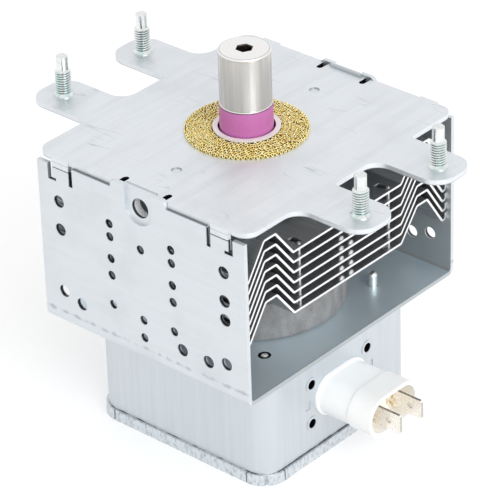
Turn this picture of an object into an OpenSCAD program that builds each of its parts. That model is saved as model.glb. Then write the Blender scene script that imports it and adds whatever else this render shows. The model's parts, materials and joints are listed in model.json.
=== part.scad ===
// Oven magnetron: a vacuum tube between two ring magnets, held in a folded steel yoke
// with cooling fins, a mounting plate, an antenna and a filter box with its connector.
// Millimetres, +Z along the antenna. The origin is on the antenna's axis, on the
// mounting face of the top plate. Cooling air passes along X, the yoke's walls face Y.

/* [Yoke] */
// Width of the yoke along the cooling air's path
yoke_w = 80; // [76:1:90]
// Depth of the yoke over its two walls
yoke_d = 95; // [92:1:110]
// Thickness of the yoke's sheet
yoke_t = 1.4; // [1:0.1:1.8]
// Outer radius of the yoke's two bends
yoke_bend_r = 2.6; // [2:0.1:4]
// Width of the raised lug in the middle of each wall
lug_w = 21.6; // [18:0.2:26]
// Rise of the lug above the mounting face
lug_rise = 0.8; // [0.2:0.1:2]
// Radius of the lug's upper corners
lug_corner_r = 2; // [0.5:0.1:3]
// Radius of the pocket pressed into each lug
lug_pocket_r = 5.2; // [4.5:0.1:5.6]
// Depth of the pressed pocket
lug_pocket_depth = 0.9; // [0.4:0.1:1]
// Radius of the hole in each lug
lug_hole_r = 3; // [2:0.1:3.6]
// Depth of the lug hole's axis below the mounting face
lug_hole_drop = 5.6; // [5:0.1:8]
// Distance from the antenna's axis to the middle of a tongue
tongue_x = 30.8; // [27:0.2:32]
// Width of the tongue under each ear of the top plate
tongue_w = 6.6; // [5:0.2:8]
// Width of the slot on the lug's side of each tongue
inner_slot_w = 1.5; // [0.8:0.1:1.8]
// Width of the slot on the other side of each tongue
outer_slot_w = 1.7; // [0.8:0.1:1.8]
// Depth of those slots below the top plate
slot_depth = 6.3; // [4.5:0.1:8]
// Length of the foot of the outer slot under the tongue
slot_foot_l = 1.5; // [0.6:0.1:2]
// Height of that foot
slot_foot_h = 1; // [0.6:0.1:1.6]
// Gap between a tongue and the ear above it
ear_gap = 0.3; // [0.05:0.05:0.8]
// Drop of the wall's end posts below the top plate
post_drop = 1.2; // [0.4:0.1:2]
// Radius of the large holes in the walls
large_hole_r = 2; // [1.5:0.1:2.4]
// Radius of the small holes in the walls
small_hole_r = 1.45; // [1:0.05:1.8]
// Radius of the hole in the yoke's floor round the tube's stem
floor_hole_r = 12; // [11.4:0.1:14]

/* [Top plate] */
// Thickness of the top plate
plate_t = 1.6; // [1.2:0.1:2.2]
// How far the plate stands out past the yoke's open ends
plate_overhang = 0.85; // [0:0.05:2]
// How far the plate's long edges stay back from the yoke's outer faces
plate_setback = 0.8; // [0.3:0.1:1.2]
// Distance from a stud's axis to the tip of its tab
tab_margin = 7.5; // [6.8:0.1:12]
// Radius of the plate's four corners
plate_corner_r = 4.5; // [1:0.1:4.8]
// Width of a mounting tab
tab_w = 16.8; // [12:0.2:20]
// Radius of the tab's two tip corners
tab_tip_r = 6.6; // [3:0.1:7.5]
// Radius of the wide fillet on one side of each tab
tab_fillet_r = 5.4; // [2:0.1:7]
// Radius of the tight corner on the other side
tab_corner_r = 1.2; // [0.5:0.1:2]
// Drop of the plate's bent ears below its underside
ear_drop = 1.6; // [0.8:0.1:2.6]
// Distance of the relief cuts behind each lug from its middle
relief_x = 8.3; // [7.8:0.1:9]
// Width of the relief cuts
relief_w = 2; // [1:0.1:2.6]
// Length of those relief cuts behind the yoke's wall
relief_depth = 3.8; // [2:0.1:6]
// Radius of the two shallow press marks on the plate
mark_r = 1.5; // [0.8:0.1:2.5]
// Depth of the press marks
mark_depth = 0.4; // [0.1:0.05:0.6]
// Distance of the press marks from the antenna's axis
mark_y = 30.8; // [24:0.2:38]

/* [Mounting studs] */
// Spacing of the studs along X
stud_pitch_x = 115; // [106:0.5:116]
// Spacing of the studs along Y
stud_pitch_y = 35; // [30:0.5:44]
// Outer radius of the stud's thread
stud_r = 2.45; // [1.5:0.05:3]
// How far the knurled foot in the plate stands out past the thread
stud_knurl = 0.3; // [0.2:0.05:0.6]
// Height of a stud above the mounting face
stud_h = 13.1; // [9:0.1:20]
// Radius of the smooth leading end
dog_r = 1.9; // [1:0.05:2.3]
// Length of the smooth leading end
dog_h = 3.8; // [2:0.1:6]
// Radius of the pressed head under the tab
stud_head_r = 4.2; // [3.4:0.1:6]
// Thickness of that head
stud_head_t = 1.1; // [0.6:0.1:2]

/* [Antenna] */
// Outer radius of the antenna's cap
cap_r = 7.8; // [7:0.1:9]
// Height of the cap
cap_h = 17.8; // [14:0.1:24]
// Wall of the cap
cap_wall = 0.6; // [0.4:0.05:0.9]
// Radius of the cap's upper edge
cap_edge_r = 0.8; // [0.7:0.1:2]
// Corner radius of the six-sided hole in the cap
cap_hole_r = 2.75; // [2:0.05:3.4]
// Top of the cap above the mounting face
cap_top_z = 26.8; // [26:0.1:34]
// Outer radius of the antenna's ceramic insulator
ceramic_r = 8; // [7.8:0.05:8.3]
// Radius of the bore in the insulator
ceramic_bore_r = 5.2; // [4:0.1:5.8]
// Outer radius of the seal ring round the insulator's foot
ring_r = 10.1; // [9.8:0.05:10.4]
// Height of the seal ring above the mounting face
ring_h = 1.5; // [0.6:0.1:2]
// Width of that ring
ring_w = 1.5; // [1.2:0.05:1.5]
// Depth of the well round the insulator's foot
well_depth = 2.6; // [1:0.1:4]
// Wall of the tube's two seal cups
cup_wall = 0.6; // [0.4:0.05:0.9]
// Outer radius of the woven gasket
gasket_r = 18.5; // [16:0.1:22]
// Thickness of the gasket
gasket_h = 1.1; // [0.8:0.1:3]
// Outer radius of the exhaust tube inside the cap
exhaust_r = 2.4; // [2:0.1:3]
// Wall of the exhaust tube
exhaust_wall = 0.5; // [0.3:0.05:0.8]
// Radius of the antenna's lead
antenna_lead_r = 1; // [0.7:0.05:1.2]

/* [Magnets] */
// How far the upper ring magnet reaches over the fins' inner slopes
upper_magnet_reach = 1; // [0.2:0.1:1.2]
// Height of the upper ring magnet
upper_magnet_h = 11.8; // [11.4:0.1:16]
// Outer radius of the lower ring magnet
lower_magnet_r = 29; // [25:0.1:32]
// Height of the lower ring magnet
lower_magnet_h = 13; // [11:0.1:17]
// Radius of the bore in both magnets
magnet_bore_r = 11.2; // [10.8:0.1:13]
// Edge chamfer of the magnets
magnet_chamfer = 0.5; // [0.2:0.1:1]

/* [Tube] */
// Outer radius of the anode cylinder
anode_r = 20; // [19:0.1:21.5]
// Wall of the anode cylinder
anode_wall = 2; // [1.5:0.1:3]
// Height of the anode cylinder
anode_h = 26; // [25:0.5:30]
// Number of vanes inside the anode
vane_count = 10; // [10:2:10]
// Thickness of a vane
vane_t = 1.8; // [1.2:0.1:2.2]
// Height of a vane
vane_h = 9.5; // [8:0.1:11]
// Radius of the ring of vane tips
vane_tip_r = 4.7; // [4.5:0.05:5.2]
// Radius of the smaller strap ring's middle
inner_strap_r = 6.9; // [6.4:0.1:7.2]
// Radius of the larger strap ring's middle
outer_strap_r = 8.7; // [8.4:0.1:9.4]
// Thickness of a strap ring
strap_t = 0.7; // [0.5:0.05:0.9]
// Height of a strap ring
strap_h = 1; // [0.6:0.1:1.4]
// Thickness of the two pole pieces
pole_t = 1.6; // [1.2:0.1:2]
// Depth of the pole pieces' dished middle
pole_depth = 5.2; // [4:0.1:5.6]
// Radius of the hole in the middle of a pole piece
pole_hole_r = 4.8; // [4.6:0.05:5.4]
// Mean radius of the filament's coil
filament_r = 1.95; // [1.6:0.05:2.4]
// Radius of the filament's wire
filament_wire_r = 0.28; // [0.2:0.02:0.32]
// Number of turns of the filament
filament_turns = 8; // [5:1:9]
// Radius of the end hats above and below the filament
hat_r = 4.2; // [4:0.05:4.4]
// Thickness of an end hat
hat_t = 1; // [0.6:0.1:1.4]
// Radius of the two cathode leads
lead_r = 0.7; // [0.5:0.05:0.8]
// Distance of the side lead from the antenna's axis
side_lead_y = 3.2; // [3:0.05:3.4]
// Outer radius of the stem's ceramic
stem_r = 8.9; // [8:0.1:8.9]
// Length of the stem's ceramic below the yoke
stem_drop = 12; // [8:0.5:14]
// Thickness of the stem's two terminal plates
terminal_t = 1; // [0.6:0.1:1.5]

/* [Cooling fins] */
// Number of fins
fin_count = 7; // [7:1:7]
// Thickness of a fin's sheet
fin_t = 0.7; // [0.5:0.05:0.9]
// Spacing of the fins
fin_pitch = 3.38; // [2.8:0.02:3.6]
// Distance from the anode's top to the top fin
fin_drop = 1.3; // [1:0.1:3]
// How far the fins stay back from the yoke's open ends
fin_setback = 1.8; // [0.5:0.1:5]
// Height of the fins' ridges beside the walls
ridge_h = 9.5; // [6:0.1:10.5]
// Run of a ridge's inner slope
ridge_rise_run = 7.5; // [6:0.1:8]
// Width of a ridge's flat top
ridge_top_w = 4.9; // [3:0.1:6]
// Run of a ridge's outer slope
ridge_fall_run = 7.4; // [6:0.1:9]
// Drop of the valley beside the wall below the fin's middle
valley_drop = 1.4; // [0.5:0.1:2]
// Width of the valley beside the wall
valley_w = 1.8; // [1.4:0.1:3]
// Height of the lip that bears on the wall
lip_h = 2.4; // [1:0.1:2.6]
// Radius of the fins' bends
fin_bend_r = 0.9; // [0.6:0.1:1.4]
// Height of the collar round the anode
fin_collar_h = 1.9; // [1:0.1:2.2]
// Distance of the spacer tabs from the antenna's axis along Y
spacer_y = 20.7; // [19:0.1:22]
// Distance of the spacer tabs from a fin's end
spacer_inset = 2; // [1:0.1:4]
// Length of the window that a spacer tab is cut from
window_l = 3.6; // [2.6:0.1:6]
// Width of that window
window_w = 2.2; // [1.4:0.1:3]
// Radius of the half-moon lances at the fins' ends
moon_r = 1.2; // [0.8:0.1:1.6]
// Distance of the half-moon lances from the middle
moon_y = 2.15; // [1.8:0.05:4]

/* [Filter box] */
// Width of the filter box along X
box_w = 68; // [62:0.5:76]
// Depth of the filter box along Y
box_d = 68; // [60:0.5:80]
// Height of the filter box's walls
box_h = 38; // [34:0.5:48]
// Sheet of the filter box
box_t = 0.8; // [0.6:0.05:1.2]
// Outer radius of the box's upright corners
box_corner_r = 7.3; // [5:0.1:10]
// Sheet of the lid
lid_t = 0.8; // [0.6:0.05:1.2]
// Height of the lid's rim
rim_h = 3.7; // [2.5:0.1:6]
// Width of the slits in the rim
rim_slit = 0.5; // [0.3:0.05:1]
// Distance of the box's fasteners from the antenna's axis along X
fastener_x = 26.6; // [22:0.2:30]
// Distance of the box's fasteners from the antenna's axis along Y
fastener_y = 25.1; // [22:0.2:30]
// Radius of the locating pegs
peg_r = 1.5; // [0.8:0.1:1.6]
// Height of the locating pegs above the yoke's floor
peg_h = 4.8; // [2:0.1:7]
// Radius of the clinch rivets
clinch_r = 1.5; // [1:0.1:2]
// Open ring round the clinch rivets in the yoke's floor
clinch_gap = 0.45; // [0.2:0.05:0.8]
// Radius of the fasteners' heads inside the box
fastener_head_r = 2.8; // [2.2:0.1:3.6]
// Thickness of those heads
fastener_head_t = 0.8; // [0.5:0.1:1.4]

/* [Connector] */
// Width of the connector's body
conn_w = 22; // [19:0.2:26]
// Height of the connector's body
conn_h = 12.8; // [11:0.2:16]
// Depth of the connector's axis below the yoke
conn_drop = 19; // [16:0.2:24]
// Length of the body from the box to its step
conn_root_l = 12.4; // [8:0.2:18]
// Length of the body past its step
conn_nose_l = 8.4; // [7:0.2:12]
// How far the nose stands out past the root
conn_step = 0.45; // [0.1:0.05:0.8]
// How far the foot of the body stands out past the root
conn_foot = 0.6; // [0.2:0.1:1]
// Thickness of that foot
conn_foot_t = 0.9; // [0.4:0.1:2]
// Length of the body inside the box
conn_tail_l = 7; // [5:0.2:9]
// Wall round the open nose
nose_wall = 1.3; // [0.8:0.1:2]
// Depth of the open nose
nose_depth = 6.6; // [4.5:0.1:7]
// Width of a blade
blade_w = 6.3; // [4.8:0.1:6.8]
// Thickness of a blade
blade_t = 0.8; // [0.5:0.1:1]
// Spacing of the two blades
blade_pitch = 10; // [9:0.1:12]
// Reach of the blades from the box's face
blade_reach = 27.6; // [24:0.2:34]
// Radius of the hole in a blade
blade_hole_r = 0.85; // [0.5:0.05:1.2]
// Distance of that hole from the blade's tip
blade_hole_inset = 4.4; // [3:0.1:5.5]
// Spacing of the flange's eyelets along Y
eyelet_pitch_y = 26; // [25.4:0.2:32]
// Spacing of the flange's eyelets along Z
eyelet_pitch_z = 13.8; // [12:0.2:18]
// Outer radius of an eyelet's shank
eyelet_r = 1.9; // [1.7:0.05:2.1]
// Radius of an eyelet's bore
eyelet_bore_r = 1.55; // [1:0.05:1.6]
// Radius of an eyelet's rolled head
eyelet_head_r = 2.4; // [2.3:0.05:3]
// Thickness of an eyelet's rolled head
eyelet_head_t = 0.2; // [0.2:0.05:0.6]
// Distance of the box's two stake marks from the connector's axis
stake_y = 14.7; // [14.7:0.1:16]
// Width of a stake mark
stake_w = 2.1; // [1:0.1:2.1]
// Height of a stake mark
stake_h = 3; // [2:0.1:4]
// Depth of a stake mark
stake_depth = 0.25; // [0.1:0.05:0.4]
// Thickness of the flange inside the box
flange_t = 1; // [0.6:0.1:1.6]

/* [Chokes] */
// Distance of the chokes from the antenna's axis
choke_y = 14; // [13:0.2:17]
// Mean radius of a choke's coil
coil_r = 3.6; // [3.2:0.1:4.2]
// Radius of the coil's wire
coil_wire_r = 0.6; // [0.4:0.05:0.7]
// Full turns of a coil
coil_turns = 11; // [6:1:12]
// Length of a coil along X
coil_l = 23; // [20:0.2:24]
// Distance from the antenna's axis to the coil's far end
coil_back = 4; // [3:0.1:5]
// Length of a choke's ferrite core
core_l = 28; // [24:0.5:30]

/* [Fits] */
// Clearance round a part that is pressed or brazed into another
press_gap = 0.05; // [0.02:0.01:0.1]
// Clearance round a part that passes freely through another
free_gap = 0.3; // [0.2:0.05:0.5]

/* [Hidden] */
$fn = 64;
// Sides and steps of a swept wire
wire_sides = 6;
wire_steps = 12;
// Overlap of cutting shapes past the faces that they cut
cut = 1;

// Levels of the stack, from the mounting face down
plate_under_z = -plate_t;
upper_pole_z = plate_under_z - upper_magnet_h;
anode_top_z = upper_pole_z - pole_t;
anode_bottom_z = anode_top_z - anode_h;
lower_pole_z = anode_bottom_z - pole_t;
floor_z = lower_pole_z - lower_magnet_h;
yoke_z = floor_z - yoke_t;
tube_mid_z = (anode_top_z + anode_bottom_z) / 2;
anode_in_r = anode_r - anode_wall;

// Yoke
wall_in = yoke_d / 2 - yoke_t;
lug_top_z = lug_rise;
tongue_z = plate_under_z - ear_drop;
boss_r = lug_pocket_r + yoke_t / 2;
large_hole_x = 32;
foot_hole_x = 25;
spare_hole_x = 15;
small_hole_x = 12;
// Heights of the wall holes above the yoke's underside
large_hole_heights = [11.8, 33, 42.5];
small_hole_heights = [14.9, 24.9, 30.6, 38, 42.4];
middle_hole_heights = [8.1, 14.1, 38];
foot_hole_height = 9.8;
side_hole_height = 26.7;

// Top plate
plate_w = yoke_w + 2 * plate_overhang;
plate_d = yoke_d - 2 * plate_setback;
tab_reach = stud_pitch_x / 2 + tab_margin;
stud_foot_r = stud_r + stud_knurl;
seal_hole_r = ring_r + free_gap;

// Antenna
cap_foot_z = cap_top_z - cap_h;
ceramic_foot_z = ring_h - well_depth;
cap_in_r = cap_r - cap_wall;
neck_r = cap_in_r - press_gap;
neck_h = 2.4;
neck_top_z = cap_foot_z + neck_h;
cup_r = ring_r - cup_wall;
cup_flange_r = magnet_bore_r - free_gap;
exhaust_top_z = cap_top_z - 4;
pinch_h = 3.5;
pinch_t = 1.2;
// Distance from the axis at which the antenna's lead passes the upper pole piece
lead_gate_x = 7;
lead_gate_gap = 0.8;
// Radius inside which the pole pieces are dished
dish_r = cup_r - cup_wall - 0.5;

// Fins
fin_l = yoke_w - 2 * fin_setback;
lip_y = wall_in - fin_t / 2 - press_gap;
valley_y = wall_in - valley_w;
ridge_out_y = valley_y - ridge_fall_run;
ridge_in_y = ridge_out_y - ridge_top_w;
flat_y = ridge_in_y - ridge_rise_run;
upper_magnet_r = flat_y + upper_magnet_reach;
spacer_h = fin_pitch - fin_t - press_gap;
spacer_w = 0.8;
collar_t = fin_t;

// Filament and leads
hat_gap = vane_h;
upper_hat_z = tube_mid_z + hat_gap / 2;
lower_hat_z = tube_mid_z - hat_gap / 2 - hat_t;
stem_foot_z = yoke_z - stem_drop;
stem_top_z = yoke_z - 1;
lower_cup_foot_z = yoke_z - 5;
terminal_r = stem_r - 2;
terminal_split = 0.7;

// Filter box
lid_z = yoke_z - box_h - lid_t;
box_face_x = box_w / 2;
rim_gap = press_gap;

// Connector
conn_z = yoke_z - conn_drop;
conn_end_x = box_face_x + conn_root_l + conn_nose_l;
blade_end_x = box_face_x + blade_reach;
coil_end_x = coil_l - coil_back;
blade_back_x = coil_end_x - 2 * coil_wire_r;
terminal_lead_y = 4.4;
wall_in_x = box_face_x - box_t;
choke_z = stem_foot_z - terminal_t - coil_wire_r - coil_r - press_gap;

// A plain rectangle with four round corners
module rounded_rect(w, d, r) {
    square([w - 2 * r, d], center = true);
    square([w, d - 2 * r], center = true);
    for (x = [-1, 1], y = [-1, 1])
        translate([x * (w / 2 - r), y * (d / 2 - r)]) circle(r);
}

// An upright slot shape with round ends, w wide and h high
module obround(w, h) {
    square([w - h, h], center = true);
    for (s = [-1, 1]) translate([s * (w - h) / 2, 0]) circle(h / 2);
}

// An obround prism along +X from x0, drawn across Y and Z about the connector's axis
module obround_x(w, h, x0, l)
    translate([x0, 0, conn_z]) rotate([90, 0, 90]) linear_extrude(l) obround(w, h);

// A washer or tube about the antenna's axis
module ring(r_out, r_in, z0, h)
    translate([0, 0, z0]) difference() {
        cylinder(r = r_out, h = h);
        translate([0, 0, -cut]) cylinder(r = r_in, h = h + 2 * cut);
    }

// Points, radius and fixed side direction of a swept round wire
function unit(v) = v / norm(v);
function tangent(p, i) = unit(p[min(i + 1, len(p) - 1)] - p[max(i - 1, 0)]);
function wire_ring(p, i, r, side) =
    let (t = tangent(p, i), a = unit(cross(t, side)), b = cross(a, t))
    [for (k = [0 : wire_sides - 1])
        let (q = 360 * k / wire_sides) p[i] + r * (cos(q) * a + sin(q) * b)];

module wire(p, r, side) {
    n = len(p);
    points = [for (i = [0 : n - 1]) each wire_ring(p, i, r, side)];
    walls = [for (i = [0 : n - 2], k = [0 : wire_sides - 1])
        let (k2 = (k + 1) % wire_sides, a = i * wire_sides, b = a + wire_sides)
        each [[a + k, b + k, b + k2], [a + k, b + k2, a + k2]]];
    first = [for (k = [0 : wire_sides - 1]) k];
    last = [for (k = [wire_sides - 1 : -1 : 0]) (n - 1) * wire_sides + k];
    polyhedron(points, concat([first, last], walls), convexity = 10);
}

// A sheet section drawn along a path of points with rounded bends
function corner_points(p, i, r) =
    let (a = unit(p[i - 1] - p[i]), b = unit(p[i + 1] - p[i]),
         half = acos(a * b) / 2, run = r / tan(half),
         middle = p[i] + unit(a + b) * r / sin(half),
         from = p[i] + a * run - middle, to = p[i] + b * run - middle,
         turn = sign(cross(from, to)) * (180 - 2 * half))
    [for (k = [0 : 4]) let (q = turn * k / 4)
        middle + [from.x * cos(q) - from.y * sin(q), from.x * sin(q) + from.y * cos(q)]];
function rounded_path(p, r) = concat([p[0]],
    [for (i = [1 : len(p) - 2]) each corner_points(p, i, r)], [p[len(p) - 1]]);
function path_normal(p, i) = let (t = tangent(p, i)) [-t.y, t.x];
function path_mitre(p, i) = (i == 0 || i == len(p) - 1) ? 1 :
    1 / max(0.5, unit(p[i + 1] - p[i]) * tangent(p, i));
function sheet_section(p, t) = concat(
    [for (i = [0 : len(p) - 1]) p[i] + path_normal(p, i) * path_mitre(p, i) * t / 2],
    [for (i = [len(p) - 1 : -1 : 0]) p[i] - path_normal(p, i) * path_mitre(p, i) * t / 2]);

// Yoke: a folded U of sheet with notched, perforated walls
module u_slab(half, z0, r, top) {
    translate([-half, z0 + r]) square([2 * half, top - z0 - r]);
    translate([-half + r, z0]) square([2 * half - 2 * r, 2 * r]);
    for (s = [-1, 1]) translate([s * (half - r), z0 + r]) circle(r);
}

module yoke_shell()
    rotate([90, 0, 90]) translate([0, 0, -yoke_w / 2]) linear_extrude(yoke_w) difference() {
        u_slab(yoke_d / 2, yoke_z, yoke_bend_r, lug_top_z);
        u_slab(wall_in, floor_z, yoke_bend_r - yoke_t, lug_top_z + cut);
    }

// Everything above z0 between x0 and x1 comes off the wall at -Y
module wall_notch(x0, x1, z0)
    translate([x0, -yoke_d / 2 - cut, z0]) cube([x1 - x0, yoke_t + 2 * cut, lug_top_z - z0 + cut]);

module wall_top_cuts() {
    inner = tongue_x - tongue_w / 2;
    outer = tongue_x + tongue_w / 2;
    for (s = [0, 1]) mirror([s, 0, 0]) {
        wall_notch(lug_w / 2, inner - inner_slot_w, plate_under_z);
        wall_notch(inner - inner_slot_w, inner, plate_under_z - slot_depth);
        wall_notch(inner, outer, tongue_z - ear_gap);
        wall_notch(outer, outer + outer_slot_w, plate_under_z - slot_depth);
        wall_notch(outer + outer_slot_w - cut / 2, yoke_w / 2 + cut, plate_under_z - post_drop);
        translate([outer - slot_foot_l, -yoke_d / 2 - cut, plate_under_z - slot_depth])
            cube([slot_foot_l + outer_slot_w, yoke_t + 2 * cut, slot_foot_h]);
        translate([lug_w / 2 - lug_corner_r, -yoke_d / 2 - cut, lug_top_z - lug_corner_r])
            difference() {
                cube([lug_corner_r + cut, yoke_t + 2 * cut, lug_corner_r + cut]);
                rotate([-90, 0, 0]) translate([0, 0, -cut])
                    cylinder(r = lug_corner_r, h = yoke_t + 4 * cut);
            }
    }
}

module wall_hole(x, height, r)
    translate([x, -wall_in + cut, yoke_z + height]) rotate([90, 0, 0])
        cylinder(r = r, h = yoke_t + 2 * cut);

module wall_holes() {
    for (x = [-large_hole_x, large_hole_x], h = large_hole_heights) wall_hole(x, h, large_hole_r);
    for (x = [-foot_hole_x, foot_hole_x, spare_hole_x]) wall_hole(x, foot_hole_height, large_hole_r);
    wall_hole(large_hole_x, side_hole_height, large_hole_r);
    for (x = [-small_hole_x, small_hole_x], h = small_hole_heights) wall_hole(x, h, small_hole_r);
    for (h = middle_hole_heights) wall_hole(0, h, small_hole_r);
}

// A U-shaped prism along Y, open at the lug's top, from y0 inwards
module lug_u(r, y0, depth, top)
    translate([0, y0, -lug_hole_drop]) rotate([-90, 0, 0]) linear_extrude(depth) {
        circle(r);
        translate([-r, -lug_hole_drop - top]) square([2 * r, lug_hole_drop + top]);
    }

module yoke() color("#d9dee1") difference() {
    union() {
        difference() {
            yoke_shell();
            for (a = [0, 180]) rotate(a) wall_top_cuts();
        }
        for (a = [0, 180]) rotate(a)
            lug_u(boss_r, -wall_in - yoke_t / 2, yoke_t / 2 + lug_pocket_depth, lug_top_z);
    }
    for (a = [0, 180]) rotate(a) {
        wall_holes();
        lug_u(lug_pocket_r, -yoke_d / 2 - cut, cut + lug_pocket_depth, lug_top_z + cut);
        translate([0, -yoke_d / 2 - cut, -lug_hole_drop]) rotate([-90, 0, 0])
            cylinder(r = lug_hole_r, h = yoke_t + lug_pocket_depth + 2 * cut);
        translate([fastener_x, fastener_y, yoke_z - cut])
            cylinder(r = peg_r + press_gap, h = yoke_t + 2 * cut);
        translate([fastener_x, -fastener_y, yoke_z - cut])
            cylinder(r = clinch_r + clinch_gap, h = yoke_t + 2 * cut);
    }
    translate([0, 0, yoke_z - cut]) cylinder(r = floor_hole_r, h = yoke_t + 2 * cut);
}

// Top plate: two tabs at each end, bent ears, notches for the yoke's lugs
module tab_plan(y) {
    x0 = plate_w / 2;
    low = y - tab_w / 2;
    high = y + tab_w / 2;
    tip_x = tab_reach - tab_tip_r;
    translate([x0 - cut, low]) square([tip_x - x0 + cut, tab_w]);
    translate([tip_x - cut, low + tab_tip_r]) square([tab_tip_r + cut, tab_w - 2 * tab_tip_r]);
    for (s = [low + tab_tip_r, high - tab_tip_r]) translate([tip_x, s]) circle(tab_tip_r);
    difference() {
        translate([x0 - cut, low - tab_fillet_r]) square([tab_fillet_r + cut, tab_fillet_r + cut]);
        translate([x0 + tab_fillet_r, low - tab_fillet_r]) circle(tab_fillet_r);
    }
    difference() {
        translate([x0 - cut, high - cut]) square([tab_corner_r + cut, tab_corner_r + cut]);
        translate([x0 + tab_corner_r, high + tab_corner_r]) circle(tab_corner_r);
    }
}

module lug_notch_plan() {
    half = lug_w / 2 + press_gap;
    translate([-half, -yoke_d / 2 - cut]) square([2 * half, cut + yoke_t + press_gap]);
    translate([-boss_r - press_gap, -yoke_d / 2 - cut])
        square([2 * (boss_r + press_gap), cut + yoke_t + lug_pocket_depth + press_gap]);
    for (s = [-1, 1]) translate([s * relief_x, -wall_in]) {
        translate([-relief_w / 2, -cut]) square([relief_w, relief_depth - relief_w / 2 + cut]);
        translate([0, relief_depth - relief_w / 2]) circle(relief_w / 2);
    }
}

module plate_plan() difference() {
    union() {
        rounded_rect(plate_w, plate_d, plate_corner_r);
        for (a = [0, 180]) rotate(a) {
            for (s = [-1, 1]) tab_plan(s * stud_pitch_y / 2);
            for (s = [-1, 1]) translate([s * tongue_x - tongue_w / 2, -yoke_d / 2])
                square([tongue_w, yoke_d / 4]);
        }
    }
    for (a = [0, 180]) rotate(a) lug_notch_plan();
    circle(seal_hole_r);
    for (x = [-1, 1], y = [-1, 1])
        translate([x * stud_pitch_x / 2, y * stud_pitch_y / 2]) circle(stud_foot_r + press_gap);
}

module top_plate() color("#dfe4e7") difference() {
    union() {
        translate([0, 0, plate_under_z]) linear_extrude(plate_t) plate_plan();
        for (a = [0, 180], s = [-1, 1]) rotate(a)
            translate([s * tongue_x - tongue_w / 2, -yoke_d / 2, tongue_z])
                cube([tongue_w, yoke_t, ear_drop + plate_t / 2]);
    }
    for (s = [-1, 1]) translate([0, s * mark_y, -mark_depth]) cylinder(r = mark_r, h = mark_depth + cut);
}

// Mounting studs: pressed in from below, with a smooth leading end
module stud() {
    shank_h = stud_h - dog_h;
    lead_in = stud_r - dog_r;
    tip = dog_r / 3;
    rotate_extrude() polygon([
        [0, plate_under_z - stud_head_t], [stud_head_r, plate_under_z - stud_head_t],
        [stud_head_r, plate_under_z], [stud_foot_r, plate_under_z], [stud_foot_r, 0], [stud_r, 0],
        [stud_r, shank_h - lead_in], [dog_r, shank_h], [dog_r, stud_h - tip],
        [dog_r - tip, stud_h], [0, stud_h]]);
}

module mounting_studs() color("#cfd6d2")
    for (x = [-1, 1], y = [-1, 1])
        translate([x * stud_pitch_x / 2, y * stud_pitch_y / 2]) stud();

// Woven gasket: a flat ring with rounded edges
module rf_gasket() color("#d8b24a") rotate_extrude() {
    r_in = ring_r + press_gap;
    edge = gasket_h / 2;
    translate([r_in + edge, 0]) square([gasket_r - r_in - 2 * edge, gasket_h]);
    for (x = [r_in + edge, gasket_r - edge]) translate([x, edge]) circle(edge);
}

// Antenna cap: a drawn cup with a six-sided hole
module antenna_cap() color("#c9c6c2") difference() {
    rotate_extrude() difference() {
        union() {
            translate([0, cap_foot_z]) square([cap_r, cap_h - cap_edge_r]);
            translate([0, cap_foot_z]) square([cap_r - cap_edge_r, cap_h]);
            translate([cap_r - cap_edge_r, cap_top_z - cap_edge_r]) circle(cap_edge_r);
        }
        translate([-cut, cap_foot_z - cut]) square([cap_in_r + cut, cap_h - cap_wall + cut]);
        translate([-cap_r, cap_foot_z - cut]) square([cap_r, cap_h + 2 * cut]);
    }
    translate([0, 0, cap_top_z - cap_wall - cut]) cylinder(r = cap_hole_r, h = cap_wall + 2 * cut, $fn = 6);
}

module antenna_ceramic() color("#c873b9") difference() {
    union() {
        translate([0, 0, ceramic_foot_z]) cylinder(r = ceramic_r, h = cap_foot_z - ceramic_foot_z);
        translate([0, 0, ceramic_foot_z]) cylinder(r = neck_r, h = neck_top_z - ceramic_foot_z);
    }
    translate([0, 0, ceramic_foot_z - cut]) cylinder(r = ceramic_bore_r, h = neck_top_z - ceramic_foot_z + 2 * cut);
}

// Metal cup brazed on the insulator's end, which the cap grips
module exhaust_cup() color("#bdbdbd") rotate_extrude() {
    hole = exhaust_r + press_gap;
    translate([hole, neck_top_z]) square([neck_r - hole, cup_wall]);
    translate([hole, neck_top_z]) square([cup_wall, 3 * cup_wall]);
    translate([neck_r - cup_wall, neck_top_z]) square([cup_wall, 4 * cup_wall]);
}

// Copper tube pinched off flat at its end
module exhaust_tube() color("#b87333") {
    foot = neck_top_z - 1;
    difference() {
        translate([0, 0, foot]) cylinder(r = exhaust_r, h = exhaust_top_z - foot);
        translate([0, 0, foot - cut])
            cylinder(r = exhaust_r - exhaust_wall, h = exhaust_top_z - pinch_h - foot + cut);
        for (s = [0, 180]) rotate([90, 0, s]) translate([0, 0, -2 * exhaust_r]) linear_extrude(4 * exhaust_r)
            polygon([[exhaust_r, exhaust_top_z - pinch_h], [pinch_t / 2, exhaust_top_z - 1],
                     [pinch_t / 2, exhaust_top_z + cut], [exhaust_r + cut, exhaust_top_z + cut],
                     [exhaust_r + cut, exhaust_top_z - pinch_h]]);
    }
}

// Antenna lead: from a vane's edge, through the upper pole piece, up into the exhaust tube
module antenna_lead() color("#b06a30") {
    vane_top = tube_mid_z + vane_h / 2;
    start_x = (outer_strap_r + anode_in_r) / 2;
    bend = 0.8 * antenna_lead_r;
    level = vane_top + 2 * bend;
    wire([[start_x, 0, vane_top], [start_x, 0, level - bend], [start_x - bend, 0, level],
          [lead_gate_x + bend, 0, level], [lead_gate_x, 0, level + bend],
          [lead_gate_x, 0, upper_pole_z + 2], [lead_gate_x / 2, 0, plate_under_z - 2],
          [0, 0, ring_h], [0, 0, exhaust_top_z - pinch_h]], antenna_lead_r, [0, 1, 0]);
}

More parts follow.
